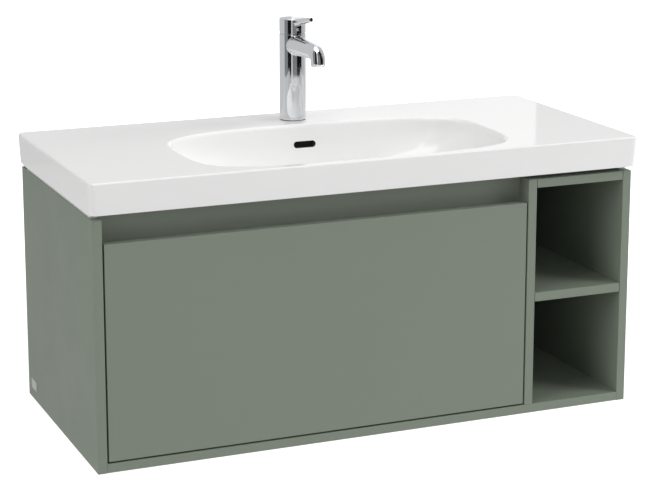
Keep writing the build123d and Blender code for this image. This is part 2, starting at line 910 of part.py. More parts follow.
bowl_inside = bowl_form(0)
bowl_shell_form = bowl_form(bowl_shell)
duct_inside_form = bowl_form(bowl_shell + duct_gap)
duct_outside_form = bowl_form(bowl_shell + duct_gap + duct_wall)
overflow_z = deck - overflow_below_deck
half_slot = overflow_width / 2
duct_reach = bowl_y + bowl_back + bowl_shell + duct_gap + duct_wall
foot_low = cabinet_height + bedding_thickness
foot_outer = half_cabinet - (board - foot_width) / 2
foot_y = wall - foot_end_gap
floor_z = deck - bowl_depth
boss_low = floor_z - waste_boss_depth

with BuildPart() as duct_block:
    add(duct_outside_form)
    box_between(
        (-half_slot - duct_cheek, bowl_y, boss_low),
        (half_slot + duct_cheek, duct_reach, overflow_z + overflow_height / 2 + duct_cheek),
        Mode.INTERSECT,
    )

with BuildPart() as duct_hollow:
    add(duct_inside_form)
    box_between(
        (-half_slot, bowl_y + waste_hole_radius / 2, boss_low),
        (half_slot, duct_reach, overflow_z + overflow_height / 2),
        Mode.INTERSECT,
    )
    add(bowl_shell_form, mode=Mode.SUBTRACT)

with BuildPart() as basin:
    with BuildSketch(Plane.XY.offset(deck - 2 * rim_round)):
        RectangleRounded(basin_width, basin_depth, basin_corner)
    with BuildSketch(Plane.XY.offset(skirt_low)):
        with Locations((0, skirt_draft / 2)):
            RectangleRounded(basin_width - 2 * skirt_draft, basin_depth - skirt_draft, basin_corner)
    loft()
    with BuildSketch(Plane.XY.offset(deck - 2 * rim_round)):
        RectangleRounded(basin_width, basin_depth, basin_corner)
    extrude(amount=2 * rim_round)
    fillet(basin.faces().sort_by(Axis.Z)[-1].edges(), rim_round)
    inner_half = basin_width / 2 - rim_width
    inner_deep = basin_depth / 2 - rim_width
    box_between(
        (-inner_half, -inner_deep, skirt_low),
        (inner_half, inner_deep, deck - deck_thickness),
        Mode.SUBTRACT,
    )
    for side in (-1, 1):
        outer = side * foot_outer
        inner = outer - side * foot_width
        box_between(
            (min(outer, inner), -foot_y, foot_low),
            (max(outer, inner), foot_y, deck - deck_thickness),
        )
    add(bowl_shell_form)
    add(duct_block.part)
    rod(waste_boss_radius, (0, bowl_y, boss_low), (0, bowl_y, floor_z))
    add(duct_hollow.part, mode=Mode.SUBTRACT)
    add(bowl_inside, mode=Mode.SUBTRACT)
    fillet(basin.faces().filter_by(GeomType.PLANE).sort_by(Axis.Z)[-1].inner_wires()[0].edges(), bowl_lip)
    with BuildSketch(Plane.XZ.offset(-bowl_y)):
        with Locations((0, overflow_z)):
            SlotOverall(overflow_width, overflow_height)
    extrude(amount=-(bowl_back + bowl_shell + duct_gap / 2), mode=Mode.SUBTRACT)
    rod(waste_hole_radius, (0, bowl_y, boss_low), (0, bowl_y, deck), Mode.SUBTRACT)
    rod(
        flange_radius + fit_gap,
        (0, bowl_y, floor_z - flange_recess),
        (0, bowl_y, floor_z + bowl_shell),
        Mode.SUBTRACT,
    )
    rod(tap_hole_radius, (0, tap_y, deck - deck_thickness), (0, tap_y, deck), Mode.SUBTRACT)
    for k in (-1, 1):
        x = k * basin_bolt_spacing / 2
        z = deck - basin_bolt_below_deck
        rod(basin_bolt_radius, (x, wall - rim_width, z), (x, wall, z), Mode.SUBTRACT)
keep(basin.part, "basin")

with BuildPart() as bedding_strips:
    for side in (-1, 1):
        outer = side * foot_outer
        inner = outer - side * foot_width
        box_between((min(outer, inner), -foot_y, cabinet_height), (max(outer, inner), foot_y, foot_low))
keep(bedding_strips.part, "bedding_strips")

# Waste, turned about the upright axis through the bowl's centre
waste_axis = (0, bowl_y)
flange_low = floor_z - flange_recess
flange_high = flange_low + flange_thickness
waste_low = flange_low - waste_length
waste_bore = waste_radius - waste_wall


def turned(steps, mode=Mode.ADD):
    """Discs about the waste axis, each given as radius, low and high."""
    for radius, low, high in steps:
        rod(radius, (*waste_axis, low), (*waste_axis, high), mode)


with BuildPart() as waste_flange:
    turned([(flange_radius, flange_low, flange_high), (waste_radius, waste_low, flange_high)])
    turned([(waste_bore, waste_low, flange_high)], Mode.SUBTRACT)
    duct_floor = floor_z - bowl_shell - duct_gap
    box_between(
        (-flange_slot_width / 2, bowl_y, duct_floor),
        (flange_slot_width / 2, bowl_y + waste_hole_radius, floor_z - bowl_shell),
        Mode.SUBTRACT,
    )
    flange_rim = waste_flange.faces().sort_by(Axis.Z)[-1].edges().sort_by(SortBy.LENGTH)[-1]
    fillet(flange_rim, flange_round)
keep(waste_flange.part, "waste_flange")

seal_high = boss_low
seal_low = seal_high - seal_thickness
with BuildPart() as waste_seal:
    turned([(seal_radius, seal_low, seal_high)])
    turned([(waste_radius + thread_clearance, seal_low, seal_high)], Mode.SUBTRACT)
keep(waste_seal.part, "waste_seal")

with BuildPart() as waste_back_nut:
    with BuildSketch(Plane.XY.offset(seal_low - nut_height)):
        with Locations(waste_axis):
            RegularPolygon(back_nut_radius, 6)
    extrude(amount=nut_height)
    turned([(waste_radius + thread_clearance, seal_low - nut_height, seal_low)], Mode.SUBTRACT)
keep(waste_back_nut.part, "waste_back_nut")

guide_high = flange_high - guide_depth
guide_low = guide_high - guide_height
guide_mid = (guide_low + guide_high) / 2
with BuildPart() as bore_room:
    turned([(waste_bore - thread_clearance, guide_low, guide_high)])

with BuildPart() as plug_guide:
    turned([(guide_hub_radius, guide_low, guide_high)])
    for k in range(guide_arms):
        turn = 2 * pi * k / guide_arms
        tip = (waste_bore * cos(turn), bowl_y + waste_bore * sin(turn), guide_mid)
        rod(guide_arm, (0, bowl_y, guide_mid), tip)
    add(bore_room.part, mode=Mode.INTERSECT)
    turned([(plug_stem_radius + running_clearance, guide_low, guide_high)], Mode.SUBTRACT)
keep(plug_guide.part, "plug_guide")

plug_low = flange_high + plug_seal_height + fit_gap * 2
with BuildPart() as waste_plug:
    turned([(plug_radius, plug_low, plug_low + plug_thickness)])
    fillet(waste_plug.faces().sort_by(Axis.Z)[-1].edges(), plug_dome)
    turned([(plug_stem_radius, guide_low - plug_travel - plug_stem_end, plug_low)])
keep(waste_plug.part, "waste_plug")

with BuildPart() as plug_seal:
    turned([(plug_seal_radius, plug_low - plug_seal_height, plug_low)])
    turned([(plug_stem_radius + thread_clearance, plug_low - plug_seal_height, plug_low)], Mode.SUBTRACT)
keep(plug_seal.part, "plug_seal")

# Trap
inlet_nut_low = waste_low - coupling_lip
with BuildPart() as trap_inlet_pipe:
    turned([(pipe_radius, trap_top - trap_pipe_dip, waste_low)])
    turned([(pipe_radius - pipe_wall, trap_top - trap_pipe_dip, waste_low)], Mode.SUBTRACT)
keep(trap_inlet_pipe.part, "trap_inlet_pipe")

outlet_end = bowl_y + trap_radius - trap_wall + outlet_nut_length
outlet_mouth = (0, outlet_end, wall_pipe_height)
bottle_low = trap_bottom + trap_cup_wall
with BuildPart() as trap_bottle:
    turned([(trap_radius, bottle_low, trap_top)])
    outlet_start = (0, bowl_y, wall_pipe_height)
    rod(outlet_nut_radius - coupling_lip, outlet_start, outlet_mouth)
    turned([(trap_radius - trap_wall, bottle_low, trap_top - trap_wall)], Mode.SUBTRACT)
    turned([(pipe_radius + fit_gap, bottle_low, trap_top)], Mode.SUBTRACT)
    rod(pipe_radius - pipe_wall, outlet_start, outlet_mouth, Mode.SUBTRACT)
keep(trap_bottle.part, "trap_bottle")

with BuildPart() as trap_cup:
    cup_outer = trap_radius + fit_gap + trap_cup_wall
    turned([(cup_outer, trap_bottom, trap_bottom + trap_cup_height)])
    turned([(trap_radius + fit_gap, bottle_low, trap_bottom + trap_cup_height)], Mode.SUBTRACT)
    turned([(trap_foot_radius, trap_bottom - trap_foot_height, trap_bottom)])
keep(trap_cup.part, "trap_cup")

with BuildPart() as wall_pipe:
    drawn_in_end = (0, outlet_end + coupling_lip + pipe_end_past_nut, wall_pipe_height)
    rod(pipe_end_radius, outlet_mouth, drawn_in_end)
    rod(pipe_radius, drawn_in_end, (0, wall, wall_pipe_height))
    rod(pipe_radius - pipe_wall, outlet_mouth, (0, wall, wall_pipe_height), Mode.SUBTRACT)
keep(wall_pipe.part, "wall_pipe")

with BuildPart() as slip_nuts:
    nut_start = (0, outlet_end - outlet_nut_length / 2, wall_pipe_height)
    nut_end = (0, outlet_end + coupling_lip, wall_pipe_height)
    outlet_thread = outlet_nut_radius - coupling_lip + thread_clearance
    rod(outlet_nut_radius, nut_start, nut_end)
    rod(outlet_thread, nut_start, outlet_mouth, Mode.SUBTRACT)
    rod(pipe_radius + fit_gap, outlet_mouth, nut_end, Mode.SUBTRACT)
    turned([(coupling_radius, inlet_nut_low, inlet_nut_low + coupling_height)])
    turned([(waste_radius + thread_clearance, waste_low, inlet_nut_low + coupling_height)], Mode.SUBTRACT)
    turned([(coupling_radius, trap_top, trap_top + trap_collar_height)])
    turned([(pipe_radius + fit_gap, trap_top, waste_low)], Mode.SUBTRACT)
keep(slip_nuts.part, "slip_nuts")

# Tap, turned about its own upright axis; heights are measured up from the deck
tap_low = deck + gasket_thickness
tap_top = deck + tap_top_height
spout_z = deck + spout_height
pivot_z = tap_top + pivot_rise
ring_low = tap_top + joint_ring_gap
ring_high = ring_low + joint_ring_thickness
cartridge_low = tap_top - cartridge_height - cartridge_nut_height
cartridge_high = tap_top - cartridge_nut_height


def on_tap(radius, low, high, mode=Mode.ADD, x=0, y=0):
    """An upright disc on the tap's axis, or beside it by x and y."""
    rod(radius, (x, tap_y + y, low), (x, tap_y + y, high), mode)


with BuildPart() as tap_gasket:
    on_tap(gasket_radius, deck, tap_low)
    on_tap(tap_hole_radius, deck, tap_low, Mode.SUBTRACT)
keep(tap_gasket.part, "tap_gasket")

with BuildPart() as tap_body:
    on_tap(tap_radius, tap_low, tap_top)
    fillet(tap_body.faces().sort_by(Axis.Z)[-1].edges(), tap_edge_round)
    on_tap(cartridge_radius + cartridge_clearance, cartridge_low, tap_top, Mode.SUBTRACT)
    for x in (-inlet_spread, inlet_spread):
        on_tap(inlet_radius, tap_low, tap_low + inlet_depth, Mode.SUBTRACT, x, -inlet_forward)
    on_tap(stud_radius + thread_clearance, tap_low, tap_low + stud_bite, Mode.SUBTRACT, 0, stud_set_back)
    rod(spout_bore_radius, (0, tap_y - tap_radius, spout_z), (0, tap_y, spout_z), Mode.SUBTRACT)
keep(tap_body.part, "tap_body")

bend_y = tap_y - spout_reach + spout_bend_radius
bend_low = spout_z - spout_bend_radius
outlet_y = tap_y - spout_reach
outlet_z = bend_low - spout_drop


def spout_form(root_radius, bend_radius, tip_radius):
    """A tapering arm, a quarter bend and a short drop."""
    rod(root_radius, (0, tap_y, spout_z), (0, bend_y, spout_z), Mode.ADD, bend_radius)
    with BuildSketch(Plane(origin=(0, bend_y, spout_z), z_dir=(0, -1, 0))) as bend_circle:
        Circle(bend_radius)
    revolve(bend_circle.sketch, Axis((0, bend_y, bend_low), (1, 0, 0)), revolution_arc=90)
    rod(bend_radius, (0, outlet_y, bend_low), (0, outlet_y, outlet_z), Mode.ADD, tip_radius)


with BuildPart() as water_way:
    spout_form(spout_bore_radius, spout_bore_radius, spout_bore_radius)

with BuildPart() as tap_spout:
    spout_form(spout_root_radius, spout_bend_start_radius, spout_tip_radius)
    on_tap(tap_radius, tap_low, tap_top, Mode.SUBTRACT)
    add(water_way.part, mode=Mode.SUBTRACT)
    rod(
        aerator_radius + thread_clearance,
        (0, outlet_y, outlet_z),
        (0, outlet_y, outlet_z + aerator_recess + aerator_depth),
        Mode.SUBTRACT,
    )
keep(tap_spout.part, "tap_spout")

with BuildPart() as aerator_insert:
    aerator_low = outlet_z + aerator_recess
    rod(aerator_radius, (0, outlet_y, aerator_low), (0, outlet_y, aerator_low + aerator_depth))
    with BuildSketch(Plane.XY.offset(aerator_low)):
        with Locations((0, outlet_y)):
            with PolarLocations(aerator_ring_radius, aerator_holes):
                Circle(aerator_hole_radius)
            Circle(aerator_hole_radius)
    extrude(amount=aerator_depth, mode=Mode.SUBTRACT)
keep(aerator_insert.part, "aerator_insert")

with BuildPart() as cartridge:
    on_tap(cartridge_radius, cartridge_low, cartridge_high)
    on_tap(spindle_seat_radius, cartridge_high - spindle_seat_depth, cartridge_high, Mode.SUBTRACT)
keep(cartridge.part, "cartridge")

with BuildPart() as cartridge_nut:
    on_tap(cartridge_radius, cartridge_high, tap_top)
    on_tap(cartridge_nut_bore, cartridge_high, tap_top, Mode.SUBTRACT)
keep(cartridge_nut.part, "cartridge_nut")

cap_low = tap_top + cap_gap
cap_high = cap_low + cap_height
slot_half = stem_width / 2 + stem_clearance
slot_rear = slot_half + (cover_radius + cover_gap) * sin(radians(lift_angle))
with BuildPart() as swivel_cover:
    with Locations((0, tap_y, pivot_z)):
        Sphere(cover_radius)
    box_between(
        (-cover_radius, tap_y - cover_radius, ring_low),
        (cover_radius, tap_y + cover_radius, pivot_z + cover_radius),
        Mode.INTERSECT,
    )
    on_tap(joint_ring_radius, ring_low, ring_high)
    on_tap(spindle_radius, cartridge_high + fit_gap * 2, ring_low)
    box_between(
        (-slot_half, tap_y - slot_half, pivot_z),
        (slot_half, tap_y + slot_rear, pivot_z + cover_radius),
        Mode.SUBTRACT,
    )
    rod(slot_half, (-slot_half, tap_y, pivot_z), (slot_half, tap_y, pivot_z), Mode.SUBTRACT)
    rod(
        stem_pin_radius + thread_clearance,
        (-slot_half - stem_pin_bite, tap_y, pivot_z),
        (cover_radius, tap_y, pivot_z),
        Mode.SUBTRACT,
    )
keep(swivel_cover.part, "swivel_cover")

with BuildPart() as stem_pin:
    pin_end = slot_half + stem_pin_bite
    rod(stem_pin_radius, (-pin_end, tap_y, pivot_z), (pin_end, tap_y, pivot_z))
keep(stem_pin.part, "stem_pin")

lever_start = Vector(0, tap_y - tap_radius, pivot_z + lever_root_rise)
lever_tip = Vector(0, tap_y - lever_reach, pivot_z + lever_tip_rise)
lever_axis = (lever_tip - lever_start).normalized()
cavity_radius = cover_radius + cover_gap
relief_drop = cap_low - pivot_z
with BuildPart() as handle_cap:
    on_tap(tap_radius, cap_low, cap_high)
    fillet(handle_cap.faces().sort_by(Axis.Z)[-1].edges(), cap_edge_round)
    with Locations((0, tap_y, pivot_z)):
        Sphere(cavity_radius, mode=Mode.SUBTRACT)
    on_tap(cavity_radius, cap_low, pivot_z, Mode.SUBTRACT)
    relief_rise = tap_radius * 2 * tan(radians(lift_angle + lift_relief))
    with BuildSketch(Plane.YZ.offset(-tap_radius)):
        with BuildLine():
            Polyline(
                (tap_y, cap_low),
                (tap_y + tap_radius * 2, cap_low + relief_rise),
                (tap_y + tap_radius * 2, cap_low),
                close=True,
            )
        make_face()
    extrude(amount=2 * tap_radius, mode=Mode.SUBTRACT)
    rod(
        lever_pin_radius + thread_clearance,
        lever_start + lever_axis * lever_root_radius,
        lever_start - lever_axis * lever_pin_length,
        Mode.SUBTRACT,
    )
    dot_z = pivot_z + dot_rise
    rod(
        dot_radius + thread_clearance,
        (0, tap_y - tap_radius, dot_z),
        (0, tap_y - tap_radius + dot_sink, dot_z),
        Mode.SUBTRACT,
    )
keep(handle_cap.part, "handle_cap")

with BuildPart() as lever:
    lever_root = lever_start - lever_axis * lever_root_radius
    rod(lever_root_radius, lever_root, lever_tip, Mode.ADD, lever_tip_radius)
    fillet(lever.edges().sort_by(Axis.Y)[0], lever_tip_round)
    add(handle_cap.part, mode=Mode.SUBTRACT)
    box_between(
        (-tap_radius, tap_y - cover_radius, cap_low),
        (tap_radius, tap_y + tap_radius, cap_high),
        Mode.SUBTRACT,
    )
    on_tap(tap_radius - cap_edge_round, cap_low, cap_high, Mode.SUBTRACT)
    pin_start = lever_start - lever_axis * (lever_pin_length - fit_gap)
    rod(lever_pin_radius, pin_start, lever_start + lever_axis * lever_root_radius)
keep(lever.part, "lever")

with BuildPart() as handle_stem:
    half = stem_width / 2
    stem_high = pivot_z + cavity_radius + cap_edge_round
    box_between((-half, tap_y - half, pivot_z), (half, tap_y + half, stem_high))
    rod(half, (-half, tap_y, pivot_z), (half, tap_y, pivot_z))
    rod(
        stem_pin_radius + running_clearance,
        (-half, tap_y, pivot_z),
        (half, tap_y, pivot_z),
        Mode.SUBTRACT,
    )
    add(handle_cap.part, mode=Mode.SUBTRACT)
keep(handle_stem.part, "handle_stem")

with BuildPart() as index_dot:
    dot_front = tap_y - tap_radius + dot_sink - dot_thickness
    rod(dot_radius, (0, dot_front, dot_z), (0, dot_front + dot_thickness, dot_z))
keep(index_dot.part, "index_dot")

# Tap fixing under the deck
clamp_high = deck - deck_thickness
rubber_low = clamp_high - rubber_thickness
plate_low = rubber_low - horseshoe_thickness
stud_y = tap_y + stud_set_back


def horseshoe(low, high, label):
    """A round plate about the tap's axis, open to the front for the hoses, with a hole for the stud."""
    with BuildPart() as plate:
        on_tap(horseshoe_radius, low, high)
        on_tap(horseshoe_mouth_radius, low, high, Mode.SUBTRACT, 0, -inlet_forward)
        box_between(
            (-horseshoe_mouth_radius, tap_y - horseshoe_radius, low),
            (horseshoe_mouth_radius, tap_y - inlet_forward, high),
            Mode.SUBTRACT,
        )
        on_tap(stud_radius + screw_clearance, low, high, Mode.SUBTRACT, 0, stud_set_back)
    keep(plate.part, label)


horseshoe(rubber_low, clamp_high, "rubber_horseshoe")
horseshoe(plate_low, rubber_low, "steel_horseshoe")

with BuildPart() as fixing_stud:
    stud_high = tap_low + stud_bite - fit_gap
    rod(stud_radius, (0, stud_y, stud_high - stud_length), (0, stud_y, stud_high))
keep(fixing_stud.part, "fixing_stud")

with BuildPart() as fixing_nut:
    with BuildSketch(Plane.XY.offset(plate_low - stud_nut_height)):
        with Locations((0, stud_y)):
            RegularPolygon(stud_nut_radius, 6)
            Circle(stud_radius + thread_clearance, mode=Mode.SUBTRACT)
    extrude(amount=stud_nut_height)
keep(fixing_nut.part, "fixing_nut")
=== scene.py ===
import math

import bmesh
import bpy
import numpy as np
from mathutils import Euler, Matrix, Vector


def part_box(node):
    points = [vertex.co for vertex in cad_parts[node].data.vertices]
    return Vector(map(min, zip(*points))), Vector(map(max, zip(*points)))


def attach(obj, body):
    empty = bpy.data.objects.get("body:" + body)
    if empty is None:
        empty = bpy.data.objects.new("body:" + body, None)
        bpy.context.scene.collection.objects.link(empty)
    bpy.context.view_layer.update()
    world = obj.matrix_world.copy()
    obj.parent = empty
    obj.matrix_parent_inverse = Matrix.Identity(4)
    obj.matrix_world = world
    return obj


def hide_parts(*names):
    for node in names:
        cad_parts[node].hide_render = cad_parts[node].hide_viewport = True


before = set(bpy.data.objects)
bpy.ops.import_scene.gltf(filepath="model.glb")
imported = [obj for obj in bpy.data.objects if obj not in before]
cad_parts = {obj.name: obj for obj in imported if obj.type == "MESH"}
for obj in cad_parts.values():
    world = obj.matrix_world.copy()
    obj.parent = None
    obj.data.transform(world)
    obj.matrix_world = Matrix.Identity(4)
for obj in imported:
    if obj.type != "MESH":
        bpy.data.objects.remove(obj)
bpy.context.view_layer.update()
print("frame loaded:", len(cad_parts), "nodes")

millimetre = 0.001  # shapes below are worked out in millimetres and scaled as they become meshes
meshValues = {"mergeWithin": 2e-6, "flatWithin": 1e-7, "sharpAngle": 32.0, "faceWeight": 60}


# every form below is a pair of points and faces, so that several can share a mesh
def gridForm(grid, wrapRows=False, wrapCols=True):
    # a grid of points (rows, columns, 3) joined into quads; a wrapped direction closes on itself
    rows, cols = grid.shape[:2]
    r = np.arange(rows if wrapRows else rows - 1)[:, None]
    c = np.arange(cols if wrapCols else cols - 1)[None, :]
    nextR, nextC = (r + 1) % rows, (c + 1) % cols
    quads = np.stack([r * cols + c, r * cols + nextC, nextR * cols + nextC, nextR * cols + c], -1)
    return grid.reshape(-1, 3), [tuple(q) for q in quads.reshape(-1, 4).tolist()]


def withCaps(form, rows, cols):
    # closes the first and the last row of a tube-like grid with one flat face each
    points, faces = form
    return points, faces + [tuple(range(cols)), tuple(range((rows - 1) * cols, rows * cols))]


def joinForms(forms):
    points, faces, start = [], [], 0
    for somePoints, someFaces in forms:
        points.append(somePoints)
        faces += [tuple(i + start for i in face) for face in someFaces]
        start += len(somePoints)
    return np.concatenate(points), faces


def shadeSmooth(mesh):
    # smooth everywhere but over edges sharper than the set angle
    mesh.shade_smooth()
    mesh.set_sharp_from_angle(angle=math.radians(meshValues["sharpAngle"]))


def keepFlat(piece):
    # large faces keep their own direction, so that only the rounds between them are shaded
    keeper = piece.modifiers.new("flat faces stay flat", "WEIGHTED_NORMAL")
    keeper.keep_sharp = True
    keeper.weight = meshValues["faceWeight"]


def newObject(name, data):
    made = bpy.data.objects.new(name, data)
    bpy.context.scene.collection.objects.link(made)
    return made


def meshObject(name, form, weighted=True):
    # points in millimetres become a closed mesh in metres: doubles merged, faces turned outward
    points, faces = form
    mesh = bpy.data.meshes.new(name)
    mesh.from_pydata((np.asarray(points) * millimetre).tolist(), [], faces)
    shell = bmesh.new()
    shell.from_mesh(mesh)
    bmesh.ops.remove_doubles(shell, verts=shell.verts, dist=meshValues["mergeWithin"])
    bmesh.ops.dissolve_degenerate(shell, edges=shell.edges, dist=meshValues["flatWithin"])
    bmesh.ops.recalc_face_normals(shell, faces=shell.faces)
    shell.to_mesh(mesh)
    shell.free()
    shadeSmooth(mesh)
    made = newObject(name, mesh)
    if weighted:
        keepFlat(made)
    return made


def place(piece, body, slot, material, *nodes):
    # one call to say what carries a piece, which finish it has and which nodes it stands for
    piece.data.materials.append(material)
    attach(piece, body)
    if nodes:
        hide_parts(*nodes)


def turnedForm(profile, centre, steps):
    # a profile of (radius, height) carried round an upright axis at centre (x, y)
    profile = np.asarray(profile, float)
    angle = np.linspace(0, 2 * np.pi, steps, endpoint=False)
    radius, height = profile[:, :1], profile[:, 1:]
    grid = np.stack([
        centre[0] + radius * np.cos(angle), centre[1] + radius * np.sin(angle), height + 0 * angle,
    ], -1)
    return gridForm(grid)


def quarterArc(centreA, centreB, radius, fromAngle, toAngle, steps=6):
    # points of an arc in a profile's own plane, angles in degrees
    turn = np.radians(np.linspace(fromAngle, toAngle, steps))
    return np.stack([centreA + radius * np.cos(turn), centreB + radius * np.sin(turn)], -1)


def boardForm(low, high, edge, arcPoints=5):
    # a board with all edges rounded: rings of a rounded rectangle, drawn in by edge * (1 - sin a)
    # while the height runs as edge * (1 - cos a), stacked along the thinnest side
    low, high = np.asarray(low, float), np.asarray(high, float)
    thin = int(np.argmin(high - low))
    order = [i for i in range(3) if i != thin] + [thin]
    size = (high - low)[order]
    arc = np.linspace(0, np.pi / 2, arcPoints)
    quarter = np.concatenate([arc + k * np.pi / 2 for k in range(4)])
    signA = np.repeat([1, -1, -1, 1], arcPoints)
    signB = np.repeat([1, 1, -1, -1], arcPoints)
    inset = np.concatenate([edge * (1 - np.sin(arc)), edge * (1 - np.sin(arc[::-1]))])[:, None]
    height = np.concatenate([edge * (1 - np.cos(arc)), size[2] - edge * (1 - np.cos(arc[::-1]))])
    a = size[0] / 2 + signA * (size[0] / 2 - edge) + (edge - inset) * np.cos(quarter)
    b = size[1] / 2 + signB * (size[1] / 2 - edge) + (edge - inset) * np.sin(quarter)
    local = np.stack([a, b, height[:, None] + 0 * a], -1)
    grid = np.empty_like(local)
    for k in range(3):
        grid[..., order[k]] = low[order[k]] + local[..., k]
    return withCaps(gridForm(grid), *grid.shape[:2])


def nodeBox(node, shrink=(0, 0, 0, 0, 0, 0)):
    # a node's corners in millimetres, each side moved inwards by its own small amount
    low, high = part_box(node)
    low = np.array(low) / millimetre + np.array(shrink[:3])
    high = np.array(high) / millimetre - np.array(shrink[3:])
    return low, high


groups = {}  # the shader groups by name


def groupTree(name, inputs, outputs):
    tree = groups[name] = bpy.data.node_groups.new(name, "ShaderNodeTree")
    for label, kind, value in inputs:
        socket = tree.interface.new_socket(name=label, in_out="INPUT", socket_type="NodeSocket" + kind)
        if value is not None:
            socket.default_value = value
    for label, kind in outputs:
        tree.interface.new_socket(name=label, in_out="OUTPUT", socket_type="NodeSocket" + kind)
    return tree, tree.nodes.new("NodeGroupInput").outputs, tree.nodes.new("NodeGroupOutput").inputs


def wire(tree, target, value):
    # an input gets a link from another node's output, or a plain value
    if isinstance(value, bpy.types.NodeSocket):
        tree.links.new(value, target)
    else:
        target.default_value = value


def shaderNode(tree, kind, settings=None, **values):
    # settings are the node's own options, values go to its inputs by name
    made = tree.nodes.new("ShaderNode" + kind)
    for key, value in (settings or {}).items():
        setattr(made, key, value)
    for key, value in values.items():
        wire(tree, made.inputs[key.replace("_", " ")], value)
    return made


def mathOf(tree, operation, a, b):
    # one step of arithmetic with outputs or plain numbers
    made = tree.nodes.new("ShaderNodeMath")
    made.operation = operation
    wire(tree, made.inputs[0], a)
    wire(tree, made.inputs[1], b)
    return made.outputs[0]


def stretched(tree, vector, scale):
    # a place scaled by its own amount along each axis
    made = tree.nodes.new("ShaderNodeMapping")
    wire(tree, made.inputs["Vector"], vector)
    made.inputs["Scale"].default_value = scale
    return made.outputs[0]


def patternTree(name):
    # a group that turns a place and a scale into one height
    return groupTree(name, [("Vector", "Vector", None), ("Scale", "Float", 400.0)], [("Height", "Float")])


def blended(tree, a, b, shares):
    first, second = [mathOf(tree, "MULTIPLY", value, share) for value, share in zip((a, b), shares)]
    return mathOf(tree, "ADD", first, second)


# shares, stretches and ranges of the patterns; a stretch below one draws a pattern out that way
patternValues = {
    "grainShares": (0.7, 0.3), "grainFiner": 2.7,
    "brushedStretch": (0.016, 1.0, 1.0),
    "spanglePush": (0.003, 0.003, 0.003),
    "fibreStretch": (0.06, 1.0, 1.0), "poreStretch": (0.1, 3.0, 3.0), "fibreShares": (0.75, 0.25),
    "driftRange": (0.3, 0.7), "handlingRange": (0.35, 0.68),
}


def buildGroups():
    p = patternValues
    # fine grain: one noise and a smaller share of a finer one, for sprayed and moulded skins
    tree, given, out = patternTree("fineGrain")
    coarse = shaderNode(tree, "TexNoise", Vector=given["Vector"], Scale=given["Scale"], Detail=2.0)
    finer = mathOf(tree, "MULTIPLY", given["Scale"], p["grainFiner"])
    fine = shaderNode(tree, "TexNoise", Vector=given["Vector"], Scale=finer, Detail=2.0)
    both = blended(tree, coarse.outputs[0], fine.outputs[0], p["grainShares"])
    tree.links.new(both, out["Height"])

    # brushed: noise drawn out far along one axis, so that it reads as long strokes
    tree, given, out = patternTree("brushed")
    lines = shaderNode(tree, "TexNoise", Vector=stretched(tree, given["Vector"], p["brushedStretch"]),
                       Scale=given["Scale"], Detail=4.0, Roughness=0.6)
    tree.links.new(lines.outputs[0], out["Height"])

    # spangle: the flat cells of a Voronoi pattern, each of its own lightness, bent by soft noise
    tree, given, out = patternTree("spangle")
    bent = shaderNode(tree, "TexNoise", Vector=given["Vector"], Scale=given["Scale"], Detail=2.0)
    pushed = shaderNode(tree, "VectorMath", {"operation": "MULTIPLY_ADD"})
    wire(tree, pushed.inputs[0], bent.outputs["Color"])
    pushed.inputs[1].default_value = p["spanglePush"]
    wire(tree, pushed.inputs[2], given["Vector"])
    cells = shaderNode(tree, "TexVoronoi", Vector=pushed.outputs[0], Scale=given["Scale"])
    grey = shaderNode(tree, "SeparateColor", Color=cells.outputs["Color"])
    tree.links.new(grey.outputs[0], out["Height"])

    # fibre: long streaks of noise and a share of finer pores, for beech and for the laminate
    tree, given, out = patternTree("fibre")
    streak = shaderNode(tree, "TexNoise", Vector=stretched(tree, given["Vector"], p["fibreStretch"]),
                        Scale=given["Scale"], Detail=6.0, Roughness=0.65, Distortion=0.6)
    pores = shaderNode(tree, "TexNoise", Vector=stretched(tree, given["Vector"], p["poreStretch"]),
                       Scale=given["Scale"], Detail=2.0)
    both = blended(tree, streak.outputs[0], pores.outputs[0], p["fibreShares"])
    tree.links.new(both, out["Height"])

    # drift: from the dark to the light colour, following a slow cloud mixed with the finish's own
    # fine pattern
    tree, given, out = groupTree(
        "drift",
        [("Vector", "Vector", None), ("Light", "Color", (1, 1, 1, 1)), ("Dark", "Color", (0, 0, 0, 1)),
         ("Pattern", "Float", 0.5), ("Cloud Scale", "Float", 4.0), ("Fine Part", "Float", 0.5)],
        [("Color", "Color")])
    cloud = shaderNode(tree, "TexNoise", Vector=given["Vector"], Scale=given["Cloud Scale"], Detail=3.0)
    mixed = shaderNode(tree, "Mix", {"data_type": "FLOAT"})
    wire(tree, mixed.inputs[0], given["Fine Part"])
    wire(tree, mixed.inputs[2], cloud.outputs[0])
    wire(tree, mixed.inputs[3], given["Pattern"])
    spread = shaderNode(tree, "MapRange")
    wire(tree, spread.inputs[0], mixed.outputs[0])
    spread.inputs[1].default_value, spread.inputs[2].default_value = p["driftRange"]
    tint = shaderNode(tree, "Mix", {"data_type": "RGBA"})
    wire(tree, tint.inputs[0], spread.outputs[0])
    wire(tree, tint.inputs[6], given["Dark"])
    wire(tree, tint.inputs[7], given["Light"])
    tree.links.new(tint.outputs[2], out["Color"])

    # handling: roughness between a low and a high value, following a cloud with drier patches
    tree, given, out = groupTree(
        "handling",
        [("Vector", "Vector", None), ("Scale", "Float", 12.0), ("Low", "Float", 0.1),
         ("High", "Float", 0.2)],
        [("Roughness", "Float")])
    patches = shaderNode(tree, "TexNoise", Vector=given["Vector"], Scale=given["Scale"], Detail=5.0,
                         Roughness=0.62, Distortion=0.4)
    ranged = shaderNode(tree, "MapRange")
    wire(tree, ranged.inputs[0], patches.outputs[0])
    ranged.inputs[1].default_value, ranged.inputs[2].default_value = p["handlingRange"]
    wire(tree, ranged.inputs[3], given["Low"])
    wire(tree, ranged.inputs[4], given["High"])
    tree.links.new(ranged.outputs[0], out["Roughness"])


